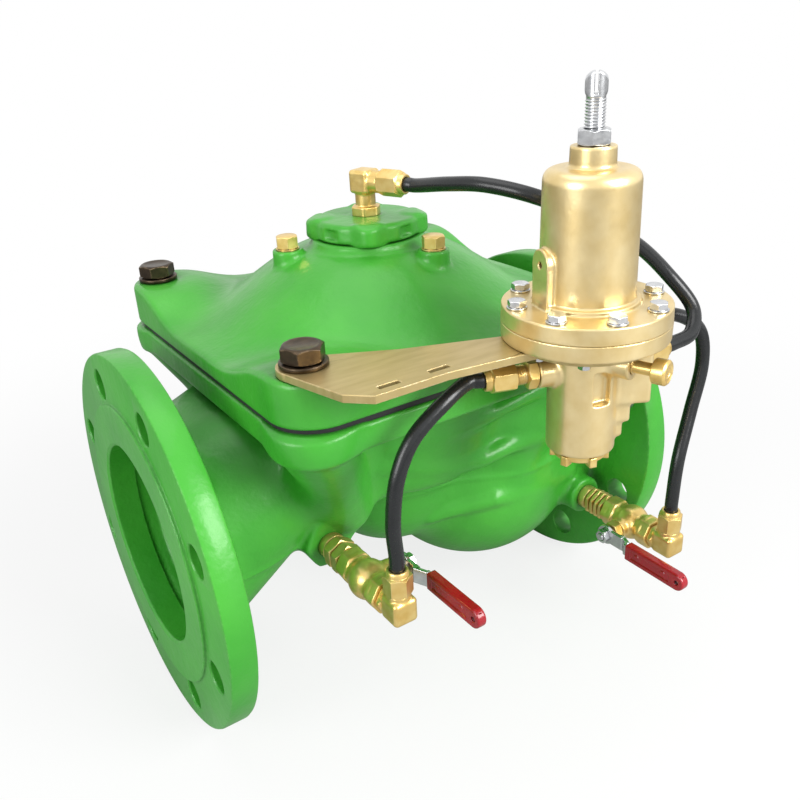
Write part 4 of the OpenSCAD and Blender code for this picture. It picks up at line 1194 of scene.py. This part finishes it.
def kept_share(node):
    """Share of a giving part's height that is left at the end of its joint's travel."""
    joint, fixed = deform[node]
    low, high = (c[2] * MM for c in corners(node))
    reach = max(abs(fixed - low), abs(high - fixed))
    return joint, fixed, 1 - travel[joint] / reach


coil("main_coil_spring", "main_spring", 25.5, 2.75, 5, *kept_share("main_spring"))
coil("pilot_coil_spring", "pilot_spring", 17.0, 2.25, 6, *kept_share("pilot_spring"))
soft_copy("main_diaphragm", *kept_share("main_diaphragm"))
soft_copy("pilot_diaphragm", *kept_share("pilot_diaphragm"))


# ---------------------------------------------------------------- CAD parts kept as they are

def soften(node, width):
    """Small round edges on a CAD part that stays."""
    piece = frame["nodes"][node]
    weld = piece.modifiers.new("weld", "WELD")
    weld.merge_threshold = 1e-5
    bevel = piece.modifiers.new("edges", "BEVEL")
    bevel.width = width * MM
    bevel.segments = 2
    bevel.limit_method = "ANGLE"
    bevel.angle_limit = math.radians(40)
    bevel.harden_normals = True


soften("bracket", 0.5)


# ---------------------------------------------------------------- floor, light and camera

def area_light(name, place, target, width, height, power):
    lamp = bpy.data.lights.new(name, "AREA")
    lamp.shape = "RECTANGLE"
    lamp.size, lamp.size_y = width, height
    lamp.energy = power
    holder = bpy.data.objects.new(name, lamp)
    holder.location = place
    holder.rotation_euler = (Vector(target) - Vector(place)).to_track_quat("-Z", "Y").to_euler()
    bpy.context.scene.collection.objects.link(holder)


def studio():
    floor_mesh = bpy.data.meshes.new("floor")
    reach = 6.0
    floor_mesh.from_pydata([(-reach, -reach, 0), (reach, -reach, 0), (reach, reach, 0), (-reach, reach, 0)],
                           [], [(0, 1, 2, 3)])
    floor = bpy.data.objects.new("floor", floor_mesh)
    floor.location.z = -FLANGE_R * MM - 0.0005
    floor_mesh.materials.append(floor_paper())
    bpy.context.scene.collection.objects.link(floor)
    world = bpy.data.worlds.new("studio")
    world.use_nodes = True
    tree = world.node_tree
    diffuse_ray = add_node(tree, "LightPath", {}).outputs["Is Diffuse Ray"]
    level = add_node(tree, "MapRange", {"Value": diffuse_ray, "To Min": 1.0, "To Max": 0.38})
    feed(tree, tree.nodes["Background"], {"Color": (1, 1, 1, 1), "Strength": level.outputs["Result"]})
    bpy.context.scene.world = world
    area_light("key", (0.45, -1.45, 0.85), (0, -0.05, 0.05), 0.9, 0.9, 30)
    area_light("side", (-1.5, -0.35, 0.55), (0, -0.1, 0.05), 0.8, 0.8, 12)
    area_light("top", (-0.1, 0.15, 1.6), (0, 0, 0), 1.2, 1.0, 5)


def floor_paper():
    """Matt paper that the camera sees fading into the white background.

    It is darker to all other rays, so it lends the object little light."""
    paper = bpy.data.materials.new("floor_paper")
    paper.use_nodes = True
    tree = paper.node_tree
    camera_ray = add_node(tree, "LightPath", {}).outputs["Is Camera Ray"]
    matt = feed(tree, tree.nodes["Principled BSDF"], {
        "Roughness": 0.85, "Base Color": mixed(tree, camera_ray, (0.45, 0.45, 0.45), (0.84, 0.84, 0.84))})
    place = add_node(tree, "TexCoord", {}).outputs["Object"]
    away = add_node(tree, "VectorMath", {0: place}, operation="LENGTH").outputs["Value"]
    fade = add_node(tree, "MapRange", {"Value": away, "From Min": 0.25, "From Max": 0.95, "To Min": 0.8},
                    interpolation_type="SMOOTHSTEP")
    seen = product(tree, fade.outputs["Result"], camera_ray)
    glow = add_node(tree, "Emission", {}).outputs["Emission"]
    mix = add_node(tree, "MixShader", {0: seen, 1: matt.outputs["BSDF"], 2: glow})
    feed(tree, tree.nodes["Material Output"], {"Surface": mix.outputs["Shader"]})
    return paper


def photo_camera():
    """Camera at the viewpoint that the flange ellipses and bolt circles give."""
    place = Vector((-0.3196, -0.5403, 0.3484))
    yaw, pitch, roll = (math.radians(a) for a in (57.16, -25.11, -3.01))
    ahead = Vector((math.cos(yaw) * math.cos(pitch), math.sin(yaw) * math.cos(pitch), math.sin(pitch)))
    right = ahead.cross(Vector((0, 0, 1))).normalized()
    up = right.cross(ahead)
    turned_right = right * math.cos(roll) + up * math.sin(roll)
    turned_up = up * math.cos(roll) - right * math.sin(roll)
    lens = bpy.data.cameras.new("camera")
    lens.sensor_width = 36.0
    lens.lens = 38.0
    lens.clip_start = 0.01
    camera = bpy.data.objects.new("camera", lens)
    turn = Matrix((turned_right, turned_up, -ahead)).transposed()
    camera.matrix_world = Matrix.Translation(place) @ turn.to_4x4()
    bpy.context.scene.collection.objects.link(camera)
    bpy.context.scene.camera = camera


studio()
photo_camera()
bpy.context.scene.view_settings.view_transform = "Standard"
